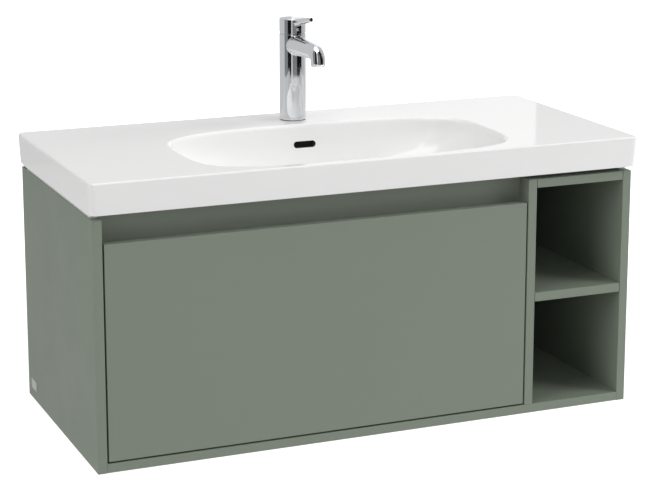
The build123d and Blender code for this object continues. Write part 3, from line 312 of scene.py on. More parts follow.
buildGroups()
print("shader groups built:", len(groups))

# Colours are linear; drift is how far they swing, grain how dense the fine pattern is (per metre),
# relief how deep it reads (metres), rough the lowest and highest roughness, fine the fine pattern's
# part in the colour, and cloud how dense the slow cloud is (per metre).
finishes = {
    "sageLacquer": dict(colour=(0.210, 0.243, 0.197), drift=0.014, pattern="fineGrain", grain=850.0,
                        relief=0.00003, rough=(0.50, 0.58), fine=0.35, cloud=3.0, specular=0.25),
    "greyLaminate": dict(colour=(0.46, 0.45, 0.43), drift=0.05, pattern="fibre", grain=260.0,
                         relief=0.00004, rough=(0.45, 0.58), fine=0.7, cloud=5.0),
    "beech": dict(colour=(0.55, 0.37, 0.21), drift=0.16, pattern="fibre", grain=900.0,
                  relief=0.0001, rough=(0.55, 0.7), fine=0.9, cloud=30.0),
    "zincPlate": dict(colour=(0.60, 0.61, 0.63), drift=0.10, pattern="fineGrain", grain=500.0,
                      relief=0.00003, rough=(0.22, 0.38), fine=0.6, cloud=25.0, metallic=1.0),
    "galvanised": dict(colour=(0.52, 0.53, 0.55), drift=0.14, pattern="spangle", grain=190.0,
                       relief=0.00002, rough=(0.25, 0.42), fine=0.75, cloud=14.0, metallic=1.0),
    "whiteGlaze": dict(colour=(0.83, 0.83, 0.825), drift=0.008, pattern="fineGrain", grain=55.0,
                       relief=0.00002, rough=(0.05, 0.09), fine=0.2, cloud=4.0),
    # near-black painted shade for the overflow's tunnel and the sheet inside its duct, not the clay's own
    # colour
    "tunnelShade": dict(colour=(0.035, 0.034, 0.032), drift=0.25, pattern="fineGrain", grain=900.0,
                     relief=0.0001, rough=(0.8, 0.95), fine=0.7, cloud=30.0),
    "sealant": dict(colour=(0.66, 0.66, 0.64), drift=0.05, pattern="fineGrain", grain=220.0,
                    relief=0.0001, rough=(0.3, 0.42), fine=0.5, cloud=20.0),
    "chrome": dict(colour=(0.80, 0.81, 0.83), drift=0.012, pattern="fineGrain", grain=70.0,
                   relief=0.000004, rough=(0.03, 0.07), fine=0.3, cloud=20.0, metallic=1.0),
    "brushedStainless": dict(colour=(0.58, 0.58, 0.58), drift=0.10, pattern="brushed", grain=1500.0,
                             relief=0.00003, rough=(0.26, 0.4), fine=0.8, cloud=25.0, metallic=1.0),
    "turnedBrass": dict(colour=(0.66, 0.49, 0.23), drift=0.12, pattern="brushed", grain=2200.0,
                        relief=0.00003, rough=(0.22, 0.36), fine=0.7, cloud=40.0, metallic=1.0),
    "whiteMoulding": dict(colour=(0.74, 0.74, 0.73), drift=0.03, pattern="fineGrain", grain=1400.0,
                          relief=0.00005, rough=(0.34, 0.46), fine=0.4, cloud=12.0),
    "blackRubber": dict(colour=(0.028, 0.028, 0.028), drift=0.2, pattern="fineGrain", grain=1600.0,
                        relief=0.00008, rough=(0.7, 0.85), fine=0.6, cloud=40.0),
    "darkMoulding": dict(colour=(0.07, 0.07, 0.075), drift=0.12, pattern="fineGrain", grain=1800.0,
                         relief=0.00005, rough=(0.4, 0.55), fine=0.5, cloud=50.0),
    "dotEnamel": dict(colour=(0.33, 0.34, 0.35), drift=0.15, pattern="fineGrain", grain=1200.0,
                      relief=0.00001, rough=(0.12, 0.2), fine=0.4, cloud=120.0),
    "anodisedPlate": dict(colour=(0.40, 0.43, 0.38), drift=0.08, pattern="brushed", grain=1800.0,
                          relief=0.00002, rough=(0.3, 0.42), fine=0.8, cloud=30.0, metallic=0.9),
}
finishValues = {"bumpStrength": 0.6, "handlingDensity": 3}  # handling is that much denser than the cloud


def groupNode(tree, name, coords):
    made = tree.nodes.new("ShaderNodeGroup")
    made.node_tree = groups[name]
    wire(tree, made.inputs["Vector"], coords)
    return made


def finishMaterial(name, recipe):
    material = bpy.data.materials.new(name)
    material.use_nodes = True
    tree = material.node_tree
    shader = tree.nodes["Principled BSDF"]
    coords = tree.nodes.new("ShaderNodeTexCoord").outputs["Object"]

    pattern = groupNode(tree, recipe["pattern"], coords)
    pattern.inputs["Scale"].default_value = recipe["grain"]

    colour, swing = np.array(recipe["colour"]), recipe["drift"]
    drift = groupNode(tree, "drift", coords)
    drift.inputs["Light"].default_value = (*np.clip(colour * (1 + swing), 0, 1), 1)
    drift.inputs["Dark"].default_value = (*(colour * (1 - swing)), 1)
    wire(tree, drift.inputs["Pattern"], pattern.outputs["Height"])
    drift.inputs["Cloud Scale"].default_value = recipe["cloud"]
    drift.inputs["Fine Part"].default_value = recipe["fine"]
    tree.links.new(drift.outputs["Color"], shader.inputs["Base Color"])

    handling = groupNode(tree, "handling", coords)
    handling.inputs["Scale"].default_value = recipe["cloud"] * finishValues["handlingDensity"]
    handling.inputs["Low"].default_value, handling.inputs["High"].default_value = recipe["rough"]
    tree.links.new(handling.outputs["Roughness"], shader.inputs["Roughness"])

    bump = shaderNode(tree, "Bump", Height=pattern.outputs["Height"],
                      Strength=finishValues["bumpStrength"])
    bump.inputs["Distance"].default_value = recipe["relief"]
    tree.links.new(bump.outputs["Normal"], shader.inputs["Normal"])
    shader.inputs["Metallic"].default_value = recipe.get("metallic", 0.0)
    shader.inputs["Specular IOR Level"].default_value = recipe.get("specular", 0.5)
    return material


materials = {name: finishMaterial(name, recipe) for name, recipe in finishes.items()}
print("finishes made:", len(materials))

# which finish each node of the part gets; some of them are made again further down
nodeFinishes = {
    "sageLacquer": ["left_side_panel", "right_side_panel", "partition_panel", "bottom_panel",
                    "shelf_bay_top", "middle_shelf", "shelf_bay_back", "grip_rail", "rear_top_rail",
                    "rear_bottom_rail", "drawer_front"],
    "greyLaminate": ["drawer_left_side", "drawer_right_side", "drawer_back_boards", "drawer_bottom"],
    "beech": ["dowels"],
    "zincPlate": ["cam_fittings", "wall_rail", "hanging_hooks", "bracket_screws", "drawer_angle_brackets",
                  "drawer_screws"],
    "galvanised": ["cabinet_runners", "middle_runners", "drawer_runners", "outer_ball_strips",
                   "inner_ball_strips"],
    "whiteGlaze": ["basin"],
    "sealant": ["bedding_strips"],
    "chrome": ["waste_flange", "waste_plug", "tap_body", "tap_spout", "swivel_cover", "handle_cap",
               "lever"],
    "brushedStainless": ["fixing_stud", "fixing_nut", "steel_horseshoe", "stem_pin"],
    "turnedBrass": ["cartridge_nut", "handle_stem"],
    "whiteMoulding": ["waste_back_nut", "plug_guide", "slip_nuts", "trap_inlet_pipe", "trap_bottle",
                      "trap_cup", "wall_pipe", "hanging_brackets", "cartridge", "trap_surround"],
    "blackRubber": ["waste_seal", "plug_seal", "tap_gasket", "rubber_horseshoe"],
    "darkMoulding": ["aerator_insert"],
    "dotEnamel": ["index_dot"],
    "anodisedPlate": ["blank_plate"],
}
for finish, names in nodeFinishes.items():
    for nodeName in names:
        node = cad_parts[nodeName]
        node.data.materials.clear()
        node.data.materials.append(materials[finish])
print("nodes finished")

# the lacquered boards again, in millimetres: what carries a board, the radius of its eased edges, and
# how far its sides move inwards (low x, y, z, high x, y, z), to keep a hair's breadth between boards
boardPieces = {
    "left_side_panel": ("carcass", 0.8, (0, 0, 0, 0, 0, 0)),
    "right_side_panel": ("carcass", 0.8, (0, 0, 0, 0, 0, 0)),
    "partition_panel": ("carcass", 0.8, (0, 0, 0, 0, 0, 0)),
    "middle_shelf": ("carcass", 0.8, (0.7, 0, 0, 0.7, 0, 0)),
    "shelf_bay_top": ("carcass", 0.8, (0.6, 0, 0, 0.6, 0, 0.3)),
    "bottom_panel": ("carcass", 0.8, (0, 0, 0.3, 0, 0, 0)),
    "drawer_front": ("drawer", 0.9, (0, 0, 0, 0, 0, 0)),
}
for nodeName, (body, edge, shrink) in boardPieces.items():
    low, high = nodeBox(nodeName, shrink)
    board = meshObject(nodeName.replace("_", "-") + "-eased", boardForm(low, high, edge))
    place(board, body, "green_board", materials["sageLacquer"], nodeName)
print("boards made:", len(boardPieces))

# washbasin: millimetres in the object's own frame
basinShape = {
    "halfWidth": 500.0, "halfDepth": 230.0, "corner": 12.0, "deck": 487.0, "skirtLow": 433.5,
    "draft": 2.5, "rimRound": 3.6, "rimWidth": 26.0, "deckThickness": 12.0, "skirtRound": 1.4,
    "innerCorner": 4.0, "innerEdge": 1.5,
    "bowlY": -28.0, "bowlHalf": 288.0, "bowlBack": 135.0, "bowlFront": 182.0, "bowlDepth": 110.0,
    "planBack": 3.0, "planFront": 4.4, "wallSide": 2.0, "wallBack": 2.2, "wallFront": 1.3,
    "lip": 7.5, "lipPull": 0.56, "shell": 10.0, "recessRadius": 32.2, "recess": 1.0, "holeRadius": 23.1,
    "bossRadius": 34.0, "bossLow": 350.0, "bossEdge": 1.0, "tapY": 161.0, "tapHole": 17.5,
    "slotWidth": 43.0, "slotHeight": 12.0, "slotZ": 450.0, "slotReach": (-45.0, 12.0),
    "boltX": 140.0, "boltZ": 454.0, "boltRadius": 7.0,
    "footX": 485.0, "footHalf": 6.5, "footFront": -200.0, "footRearGap": 1.0, "footZ": (426.0, 440.0),
    "footEdge": 1.5,
    "bowlSteps": 288, "cornerSteps": 14, "cornerMargin": 4.0, "cornerOver": 1.0, "wallSteps": 40,
    "lipSteps": 10, "rimSteps": 8, "skirtSteps": 6, "shellSteps": 28,
    "deckShares": (0.12, 0.3, 0.5, 0.7, 0.88, 1.0), "skirtShares": (0.0, 0.25, 0.5, 0.75, 1.0),
    "cutBelow": 20.0, "cutAbove": 5.0, "cutInwards": 40.0, "slotStep": 1.0,
    "tunnelSpare": 0.2, "tunnelReach": (1.6, 25.0), "tunnelSteepest": 0.3,
}
# overflow duct: outer and inner skin as (root offset, first drop, run of drops), the part of the run
# over which the hood opens, and how much the duct's sides and the sides of the near-black sheet of
# painted shade inside it stand out from the slot
ductShape = {
    "gap": 12.0, "wall": 7.0, "cheek": 8.0, "slack": 0.5, "shadeSheet": 0.4, "shadeSheetInset": 0.6,
    "outSkin": (-2.0, 22.0, 90.0), "inSkin": (-2.5, 30.0, 82.0), "hoodPart": 0.25,
    "deepest": 0.985, "acrossSteps": 17, "levels": 26,
}


def bowlReach(theta, offset):
    # distance from the waste axis to the bowl's edge along a ray: a superellipse with half sizes
    # A across and B along, |x/A|^n + |y/B|^n = 1, where B and n differ to the back and to the front
    b = basinShape
    back = np.sin(theta) >= 0
    half = b["bowlHalf"] + offset
    along = np.where(back, b["bowlBack"], b["bowlFront"]) + offset
    power = np.where(back, b["planBack"], b["planFront"])
    x, y = np.abs(np.cos(theta)) / half, np.abs(np.sin(theta)) / along
    reach = (x ** power + y ** power) ** (-1 / power)
    turn = np.arctan2(y, x)  # the same ray as an angle of the unit shape
    far = np.where(back, b["wallBack"], b["wallFront"])
    wall = b["wallSide"] + (far - b["wallSide"]) * np.sin(turn)
    return reach, wall


def rectReach(theta, halfX, halfY, centreY, corner):
    # distance from the waste axis to a rounded rectangle: the nearer of two sides, or, past the
    # start of a corner, the far root of the ray with the corner's circle
    tiny = 1e-9  # keeps a ray along an axis from a division by nothing
    x, y = np.maximum(np.abs(np.cos(theta)), tiny), np.sin(theta)
    y = np.where(np.abs(y) < tiny, tiny, y)
    start = basinShape["bowlY"] - centreY
    side = np.sign(y)
    reach = np.minimum(halfX / x, (side * halfY - start) / y)
    cornerX, cornerY = halfX - corner, side * (halfY - corner)
    inCorner = (reach * x > cornerX) & (side * (start + reach * y) > halfY - corner)
    away = -cornerX * x + (start - cornerY) * y
    inside = cornerX ** 2 + (start - cornerY) ** 2 - corner ** 2
    return np.where(inCorner, -away + np.sqrt(np.maximum(away ** 2 - inside, 0)), reach)


def basinAngles():
    # rays spread evenly round the bowl's outline, and closer together at the four corners
    b = basinShape
    turn = np.linspace(0, 2 * np.pi, b["bowlSteps"], endpoint=False)
    along = np.where(np.sin(turn) >= 0, b["bowlBack"], b["bowlFront"])
    angles = [np.arctan2(along * np.sin(turn), b["bowlHalf"] * np.cos(turn))]
    for sideX in (-1, 1):
        for sideY in (-1, 1):
            near, over = b["corner"] + b["cornerMargin"], b["cornerOver"]
            ends = [((b["halfWidth"] - near) * sideX, (b["halfDepth"] + over) * sideY - b["bowlY"]),
                    ((b["halfWidth"] + over) * sideX, (b["halfDepth"] - near) * sideY - b["bowlY"])]
            first, last = [math.atan2(y, x) for x, y in ends]
            angles.append(np.linspace(first, last, b["cornerSteps"]))
    angles = np.mod(np.concatenate(angles), 2 * np.pi)
    return np.unique(np.round(angles, 5))


def basinForm():
    # rows of (reach, height) along every ray, from the waste hole up the bowl, over the lip, across
    # the deck, round the rim, down the skirt and back underneath; the section closes on itself
    b = basinShape
    theta = basinAngles()
    one = np.ones_like(theta)
    deck, floor = b["deck"], b["deck"] - b["bowlDepth"]
    rows = [(b["holeRadius"] * one, b["bossLow"] * one),
            (b["holeRadius"] * one, (floor - b["recess"]) * one),
            (b["recessRadius"] * one, (floor - b["recess"]) * one)]
    reach, wall = bowlReach(theta, 0)
    # bowl wall: reach falls as cos(a)^(2/n), depth grows as sin(a)^(2/n), so that their nth powers
    # always add up to one; the reach is eased so that it ends at the waste recess
    lipTurn = np.arcsin((b["lip"] / b["bowlDepth"]) ** (wall / 2))
    for a in np.linspace(0, 1, b["wallSteps"]):
        turn = np.pi / 2 + (lipTurn - np.pi / 2) * a
        share = np.abs(np.cos(turn)) ** (2 / wall)
        depth = b["bowlDepth"] * np.sin(turn) ** (2 / wall)
        rows.append((b["recessRadius"] + (reach - b["recessRadius"]) * share, deck - depth))
    # lip: a cubic curve that leaves along the wall and lands flat on the deck
    wallReach, wallZ = rows[-1]
    slopeR, slopeZ = wallReach - rows[-2][0], wallZ - rows[-2][1]
    slope = np.hypot(slopeR, slopeZ)
    slopeR, slopeZ = slopeR / slope, slopeZ / slope
    pull = b["lip"] * b["lipPull"]
    curve = [(wallReach, wallZ), (wallReach + slopeR * pull, wallZ + slopeZ * pull),
             (reach + b["lip"] - pull, deck * one), (reach + b["lip"], deck * one)]
    for a in np.linspace(0, 1, b["lipSteps"])[1:]:
        weights = ((1 - a) ** 3, 3 * a * (1 - a) ** 2, 3 * a ** 2 * (1 - a), a ** 3)
        rows.append(tuple(sum(w * p[k] for w, p in zip(weights, curve)) for k in (0, 1)))
    # deck: straight along each ray to the start of the rim's round
    rim = rectReach(theta, b["halfWidth"] - b["rimRound"], b["halfDepth"] - b["rimRound"], 0,
                    b["corner"] - b["rimRound"])
    for a in b["deckShares"]:
        rows.append(((reach + b["lip"]) * (1 - a) + rim * a, deck * one))
    # rim: a quarter circle
    for a in np.linspace(0, np.pi / 2, b["rimSteps"])[1:]:
        inset = b["rimRound"] * (1 - np.sin(a))
        edge = rectReach(theta, b["halfWidth"] - inset, b["halfDepth"] - inset, 0, b["corner"] - inset)
        rows.append((edge, (deck - b["rimRound"] * (1 - np.cos(a))) * one))
    # skirt: drawn in by the draft on its way down, then a small round under it
    top, low = deck - 2 * b["rimRound"], b["skirtLow"] + b["skirtRound"]
    for a in b["skirtShares"]:
        draft = b["draft"] * a
        edge = rectReach(theta, b["halfWidth"] - draft, b["halfDepth"] - draft / 2, draft / 2, b["corner"])
        rows.append((edge, (top + (low - top) * a) * one))
    for a in np.linspace(0, np.pi / 2, b["skirtSteps"])[1:]:
        inset = b["draft"] + b["skirtRound"] * (1 - np.cos(a))
        edge = rectReach(theta, b["halfWidth"] - inset, b["halfDepth"] - inset + b["draft"] / 2,
                         b["draft"] / 2, b["corner"] - b["skirtRound"] * (1 - np.cos(a)))
        rows.append((edge, (low - b["skirtRound"] * np.sin(a)) * one))
    # inside of the skirt and underside of the deck, up to the outside of the bowl
    inner = rectReach(theta, b["halfWidth"] - b["rimWidth"], b["halfDepth"] - b["rimWidth"], 0,
                      b["innerCorner"])
    outReach, outWall = bowlReach(theta, b["shell"])
    outDepth = b["bowlDepth"] + b["shell"]
    atDeck = (1 - (b["deckThickness"] / outDepth) ** outWall) ** (1 / outWall)
    share = np.minimum(inner / outReach, atDeck)
    under = deck - outDepth * (1 - share ** outWall) ** (1 / outWall)
    rows += [(inner - b["innerEdge"], b["skirtLow"] * one), (inner, (b["skirtLow"] + b["innerEdge"]) * one),
             (inner, under), ((inner + outReach * share) / 2, under), (outReach * share, under)]
    # outside of the bowl: the wall's curve with the shell added, down to the boss round the waste
    first = np.arccos(np.clip(share ** (outWall / 2), 0, 1))
    last = np.arccos((b["bossRadius"] / outReach) ** (outWall / 2))
    for a in np.linspace(0, 1, b["shellSteps"])[1:]:
        turn = first + (last - first) * a
        depth = outDepth * np.sin(turn) ** (2 / outWall)
        rows.append((outReach * np.cos(turn) ** (2 / outWall), deck - depth))
    rows.append((b["bossRadius"] * one, (b["bossLow"] + b["bossEdge"]) * one))
    rows.append(((b["bossRadius"] - b["bossEdge"]) * one, b["bossLow"] * one))
    grid = np.stack([
        np.stack([r * np.cos(theta), b["bowlY"] + r * np.sin(theta), z], -1) for r, z in rows
    ])
    return gridForm(grid, wrapRows=True)


def slotForm(width, height, z, depths, arcPoints=13):
    # the overflow's outline, two half circles joined by straight lines, carried along the depth
    arc = np.linspace(-np.pi / 2, np.pi / 2, arcPoints)
    half, straight = height / 2, (width - height) / 2
    x = np.concatenate([straight + half * np.cos(arc), -straight - half * np.cos(arc)])
    up = np.concatenate([z + half * np.sin(arc), z - half * np.sin(arc)])
    grid = np.stack([np.stack([x, y + 0 * x, up], -1) for y in depths])
    return withCaps(gridForm(grid), *grid.shape[:2])


def pegForm(radius, start, end, axis, steps=48):
    # a round peg between two heights along one axis, used to cut a hole
    angle = np.linspace(0, 2 * np.pi, steps, endpoint=False)
    grid = np.empty((2, steps, 3))
    others = [i for i in range(3) if i != axis]
    grid[:, :, others[0]] = start[others[0]] + radius * np.cos(angle)
    grid[:, :, others[1]] = start[others[1]] + radius * np.sin(angle)
    grid[0, :, axis], grid[1, :, axis] = start[axis], end[axis]
    return withCaps(gridForm(grid), *grid.shape[:2])


def ductForm(outer, inner, halfOuter, halfInner):
    # a channel behind the bowl. Each of its two skins lies on the bowl's outside at that depth, moved
    # out by an offset: y = B * sunk * (1 - |x / A|^n)^(1/n), where sunk is what the wall's own curve
    # leaves of the reach. The offset opens as sqrt(1 - (1 - a)^2) over the hood.
    b, d = basinShape, ductShape
    side = np.linspace(-1, 1, d["acrossSteps"])

    def skin(offset, halfWide, drop):
        x = halfWide * side
        depth = b["bowlDepth"] + b["shell"] + offset
        sunk = (1 - (min(drop, depth * d["deepest"]) / depth) ** b["wallBack"]) ** (1 / b["wallBack"])
        half = (b["bowlHalf"] + b["shell"] + offset) * sunk
        curve = (1 - np.minimum(np.abs(x) / half, 1) ** b["planBack"]) ** (1 / b["planBack"])
        y = b["bowlY"] + (b["bowlBack"] + b["shell"] + offset) * sunk * curve
        return np.stack([x, y, 0 * x + b["deck"] - drop], -1)

    (outRoot, outDrop, outRun), (inRoot, inDrop, inRun) = d["outSkin"], d["inSkin"]
    rows = []
    for a in np.linspace(0, 1, d["levels"]):
        hood = math.sqrt(1 - (1 - min(a / d["hoodPart"], 1)) ** 2)
        outSkin = skin(outRoot + (outer - outRoot) * hood, halfOuter, outDrop + outRun * a)
        inSkin = skin(inRoot + (inner - inRoot) * hood, halfInner, inDrop + inRun * a)
        base = skin(outRoot, halfOuter, outDrop + outRun * a)
        baseIn = skin(inRoot, halfInner, inDrop + inRun * a)
        rows.append(np.concatenate([base[:1], outSkin, base[-1:], baseIn[-1:], inSkin[::-1], baseIn[:1]]))
    points, faces = gridForm(np.stack(rows))
    cols = len(rows[0])
    for first in (0, (len(rows) - 1) * cols):
        faces += [(first + i, first + i + 1, first + cols - 2 - i, first + cols - 1 - i)
                  for i in range(cols // 2 - 1)]
    return points, faces


def cutWith(target, cutters):
    # cuts the shapes out of the target and keeps the result as its mesh
    for cutter in cutters:
        cut = target.modifiers.new(cutter.name, "BOOLEAN")
        cut.operation, cut.solver, cut.object = "DIFFERENCE", "EXACT", cutter
    bpy.context.view_layer.update()
    graph = bpy.context.evaluated_depsgraph_get()
    mesh = bpy.data.meshes.new_from_object(target.evaluated_get(graph))
    target.modifiers.clear()
    old, target.data = target.data, mesh
    mesh.name = old.name
    bpy.data.meshes.remove(old)
    for cutter in cutters:
        bpy.data.objects.remove(cutter)


def tunnelShadeFaces(mesh):
    # the faces of the overflow's tunnel, which get the near-black painted shade: within the slot's
    # outline, turned away from the front, and behind the bowl's wall, which stands at
    # reach * (1 - (depth / bowl depth)^n)^(1/n)
    b = basinShape
    count = len(mesh.polygons)
    centres, normals = np.empty(count * 3), np.empty(count * 3)
    mesh.polygons.foreach_get("center", centres)
    mesh.polygons.foreach_get("normal", normals)
    centres, normals = centres.reshape(-1, 3) / millimetre, normals.reshape(-1, 3)
    reach, wall = bowlReach(np.array([np.pi / 2]), 0)
    sunk = (1 - ((b["deck"] - b["slotZ"]) / b["bowlDepth"]) ** wall) ** (1 / wall)
    behind = centres[:, 1] - (b["bowlY"] + float(reach[0] * sunk[0]))
    (nearest, farthest), spare = b["tunnelReach"], b["tunnelSpare"]
    return ((np.abs(centres[:, 0]) < b["slotWidth"] / 2 + spare)
            & (np.abs(centres[:, 2] - b["slotZ"]) < b["slotHeight"] / 2 + spare)
            & (behind > nearest) & (behind < farthest) & (np.abs(normals[:, 1]) < b["tunnelSteepest"]))


def makeBasin():
    # the ceramic with its slot, tap hole and bolt holes cut and its tunnel in painted shade, and then its
    # duct, the near-black sheet of painted shade inside the duct, and its feet
    b, d = basinShape, ductShape
    basin = meshObject("basin-ceramic", basinForm(), weighted=False)
    shellY = b["bowlY"] + b["bowlBack"]
    nearY, farY = b["slotReach"]
    depths = shellY + nearY + b["slotStep"] * np.arange(int((farY - nearY) / b["slotStep"]) + 1)
    cutters = [
        meshObject("slot", slotForm(b["slotWidth"], b["slotHeight"], b["slotZ"], depths), weighted=False),
        meshObject("tapHole", pegForm(b["tapHole"], (0, b["tapY"], b["deck"] - b["cutBelow"]),
                                      (0, b["tapY"], b["deck"] + b["cutAbove"]), 2), weighted=False),
    ]
    for x in (-b["boltX"], b["boltX"]):
        peg = pegForm(b["boltRadius"], (x, b["halfDepth"] - b["cutInwards"], b["boltZ"]),
                      (x, b["halfDepth"] + b["cutAbove"], b["boltZ"]), 1)
        cutters.append(meshObject("bolt", peg, weighted=False))
    cutWith(basin, cutters)
    place(basin, "carcass", "white_glaze", materials["whiteGlaze"], "basin")
    basin.data.materials.append(materials["tunnelShade"])  # the tunnel behind the overflow gets a near-black painted shade, darker than the clay is
    basin.data.polygons.foreach_set("material_index", tunnelShadeFaces(basin.data).astype(np.int32))
    shadeSmooth(basin.data)
    keepFlat(basin)

    half, gap = b["slotWidth"] / 2, d["gap"]
    duct = ductForm(gap + d["wall"], gap + d["slack"], half + d["cheek"], half + d["slack"])
    place(meshObject("overflow-duct", duct), "carcass", "white_glaze", materials["whiteGlaze"])
    # a near-black sheet just inside the duct: painted shade for the duct's shadowed inside
    shadeSheet = ductForm(gap + d["shadeSheet"], gap - d["shadeSheetInset"],
                      half + d["shadeSheet"], half - d["shadeSheetInset"])
    place(meshObject("overflow-shadeSheet", shadeSheet), "carcass", "white_glaze", materials["tunnelShade"])
    rear = nodeBox("left_side_panel")[1][1] - b["footRearGap"]
    feet = joinForms([
        boardForm((x - b["footHalf"], b["footFront"], b["footZ"][0]),
                  (x + b["footHalf"], rear, b["footZ"][1]), b["footEdge"])
        for x in (-b["footX"], b["footX"])
    ])
    place(meshObject("basin-feet", feet), "carcass", "white_glaze", materials["whiteGlaze"])


makeBasin()
print("basin made")

# tap: millimetres in the same frame; the lever's ends are (y, z) on the tap's centre plane, and
# leverStations are (from, to, steps) along the lever, counted from its start
tapShape = {
    "y": 161.0, "radius": 24.0, "low": 488.2, "top": 646.0, "edge": 0.8, "foot": 0.6, "mouth": 17.4,
    "mouthDepth": 6.0, "levels": 9, "levelMargin": 6.0, "turnSteps": 160,
    "spoutZ": 626.5, "rootRadius": 17.8, "bendRadius": 14.0, "tipRadius": 12.6, "rootFillet": 1.2,
    "rootDepth": 3.0, "bendY": 56.0, "bendSize": 17.0, "outletZ": 603.0, "outletRound": 0.9,
    "boreRadius": 10.45, "boreDepth": 8.0, "boreEdge": 0.1, "spoutSteps": 96, "filletSteps": 7,
    "armSteps": 14, "bendSteps": 22,
    "capLow": 648.0, "capHigh": 674.0, "capEdge": 1.5, "capLowEdge": 0.4, "capFlat": 14.0,
    "pivotZ": 650.0, "cavity": 19.6, "relief": 20.8, "cavitySteps": 14, "capShares": (0.3, 0.6, 1.0),
    "capEdgeSteps": 8, "bossRadius": 7.3, "bossFall": 5.0, "leverRoot": 6.8, "leverTip": 4.2,
    "leverStart": (137.0, 668.6), "leverEnd": (71.0, 682.0), "leverInside": 5.0, "leverRound": 1.6,
    "leverStations": ((-5.0, 16.0, 20), (22.0, None, 10)), "leverSteps": 64, "leverRoundSteps": 7,
}


def tapBodyForm():
    # a turned cylinder: a profile of (radius, height) from the middle of its foot, round the foot's
    # and the top's quarter circles, into the flat floor of its mouth
    t = tapShape
    floor = t["top"] - t["mouthDepth"]
    profile = np.concatenate([
        [(0.0, t["low"]), (t["radius"] - t["foot"], t["low"])],
        quarterArc(t["radius"] - t["foot"], t["low"] + t["foot"], t["foot"], -90, 0)[1:],
        [(t["radius"], z) for z in np.linspace(t["low"] + t["levelMargin"], t["top"] - t["levelMargin"],
                                               t["levels"])],
        quarterArc(t["radius"] - t["edge"], t["top"] - t["edge"], t["edge"], 0, 90),
        [(t["mouth"], t["top"]), (t["mouth"], floor), (0.0, floor)],
    ])
    return turnedForm(profile, (0, t["y"]), t["turnSteps"])


def spoutForm():
    # a round arm that leaves the body in a small fillet on the body's own curve, which is
    # y = centre - sqrt(R^2 - x^2), tapers evenly to the bend, turns down a quarter circle and ends in
    # a rounded mouth with a bore
    t = tapShape
    angle = np.linspace(0, 2 * np.pi, t["spoutSteps"], endpoint=False)
    acrossX, upZ = np.sin(angle), np.cos(angle)
    startY = t["y"] - t["radius"]
    taper = (t["rootRadius"] - t["bendRadius"]) / (startY - t["bendY"])

    def saddle(radius):
        return t["y"] - np.sqrt(t["radius"] ** 2 - (radius * acrossX) ** 2)

    def ring(radius, y):
        return np.stack([radius * acrossX, y + 0 * angle, t["spoutZ"] + radius * upZ], -1)

    wide = t["rootRadius"] + t["rootFillet"]
    rows = [ring(wide, saddle(wide) + t["rootDepth"])]
    for a in np.linspace(0, np.pi / 2, t["filletSteps"]):
        radius = t["rootRadius"] + t["rootFillet"] * (1 - np.sin(a))
        rows.append(ring(radius, saddle(radius) - t["rootFillet"] * (1 - np.cos(a))))
    rootY = saddle(t["rootRadius"]) - t["rootFillet"]
    for a in np.linspace(0, 1, t["armSteps"])[1:]:
        y = rootY * (1 - a) + t["bendY"] * a
        rows.append(ring(np.minimum(t["bendRadius"] + taper * (y - t["bendY"]), t["rootRadius"]), y))
    bendLow = t["spoutZ"] - t["bendSize"]
    for a in np.linspace(0, np.pi / 2, t["bendSteps"])[1:]:
        radius = t["bendRadius"] + (t["tipRadius"] - t["bendRadius"]) * a / (np.pi / 2)
        outward = t["bendSize"] + radius * upZ
        rows.append(np.stack([radius * acrossX, t["bendY"] - outward * np.sin(a),
                              bendLow + outward * np.cos(a)], -1))
    mouthY = t["bendY"] - t["bendSize"]
    ends = np.concatenate([
        [(t["tipRadius"], t["outletZ"] + t["outletRound"])],
        quarterArc(t["tipRadius"] - t["outletRound"], t["outletZ"] + t["outletRound"], t["outletRound"],
                   0, -90)[1:],
        [(t["boreRadius"], t["outletZ"] + t["boreEdge"]), (t["boreRadius"], t["outletZ"] + t["boreDepth"]),
         (0.0, t["outletZ"] + t["boreDepth"])],
    ])
    for radius, z in ends:
        rows.append(np.stack([radius * acrossX, mouthY - radius * upZ, z + 0 * angle], -1))
    points, faces = gridForm(np.stack(rows))
    return points, faces + [tuple(range(len(angle)))]


def capForm():
    # turned cap with a rounded upper edge. Its lower edge is level in front and climbs behind as
    # radius * sin(angle) * tan(relief); the hollow below is a ball about the pivot, with
    # radius = cavity * cos(a) and height = pivot + cavity * sin(a)
    t = tapShape
    angle = np.linspace(0, 2 * np.pi, t["turnSteps"], endpoint=False)
    climb = math.tan(math.radians(t["relief"]))
    edge, one = t["capLowEdge"], np.ones_like(angle)

    def lowEdge(radius):
        return t["capLow"] + np.maximum(radius * np.sin(angle), 0) * climb

    rows = [(0 * one, (t["pivotZ"] + t["cavity"]) * one)]
    innerZ = lowEdge(t["cavity"] - edge)
    above = np.maximum(innerZ - t["pivotZ"], 0)
    inner = np.sqrt(t["cavity"] ** 2 - above ** 2)
    start = np.arctan2(above, inner)
    for a in np.linspace(1, 0, t["cavitySteps"])[1:]:
        turn = start + (np.pi / 2 - start) * a
        rows.append((t["cavity"] * np.cos(turn), t["pivotZ"] + t["cavity"] * np.sin(turn)))
    rows += [(inner, innerZ), (t["radius"] * one - edge, lowEdge(t["radius"] - edge)),
             (t["radius"] * one, lowEdge(t["radius"]) + edge)]
    high = t["capHigh"] - t["capEdge"]
    for a in t["capShares"]:
        rows.append((t["radius"] * one, (lowEdge(t["radius"]) + edge) * (1 - a) + high * a))
    corner = quarterArc(t["radius"] - t["capEdge"], high, t["capEdge"], 0, 90, t["capEdgeSteps"])
    rows += [(radius * one, z * one) for radius, z in corner[1:]]
    rows += [(t["capFlat"] * one, t["capHigh"] * one), (0 * one, t["capHigh"] * one)]
    grid = np.stack([np.stack([r * np.cos(angle), t["y"] + r * np.sin(angle), z], -1) for r, z in rows])
    return gridForm(grid)


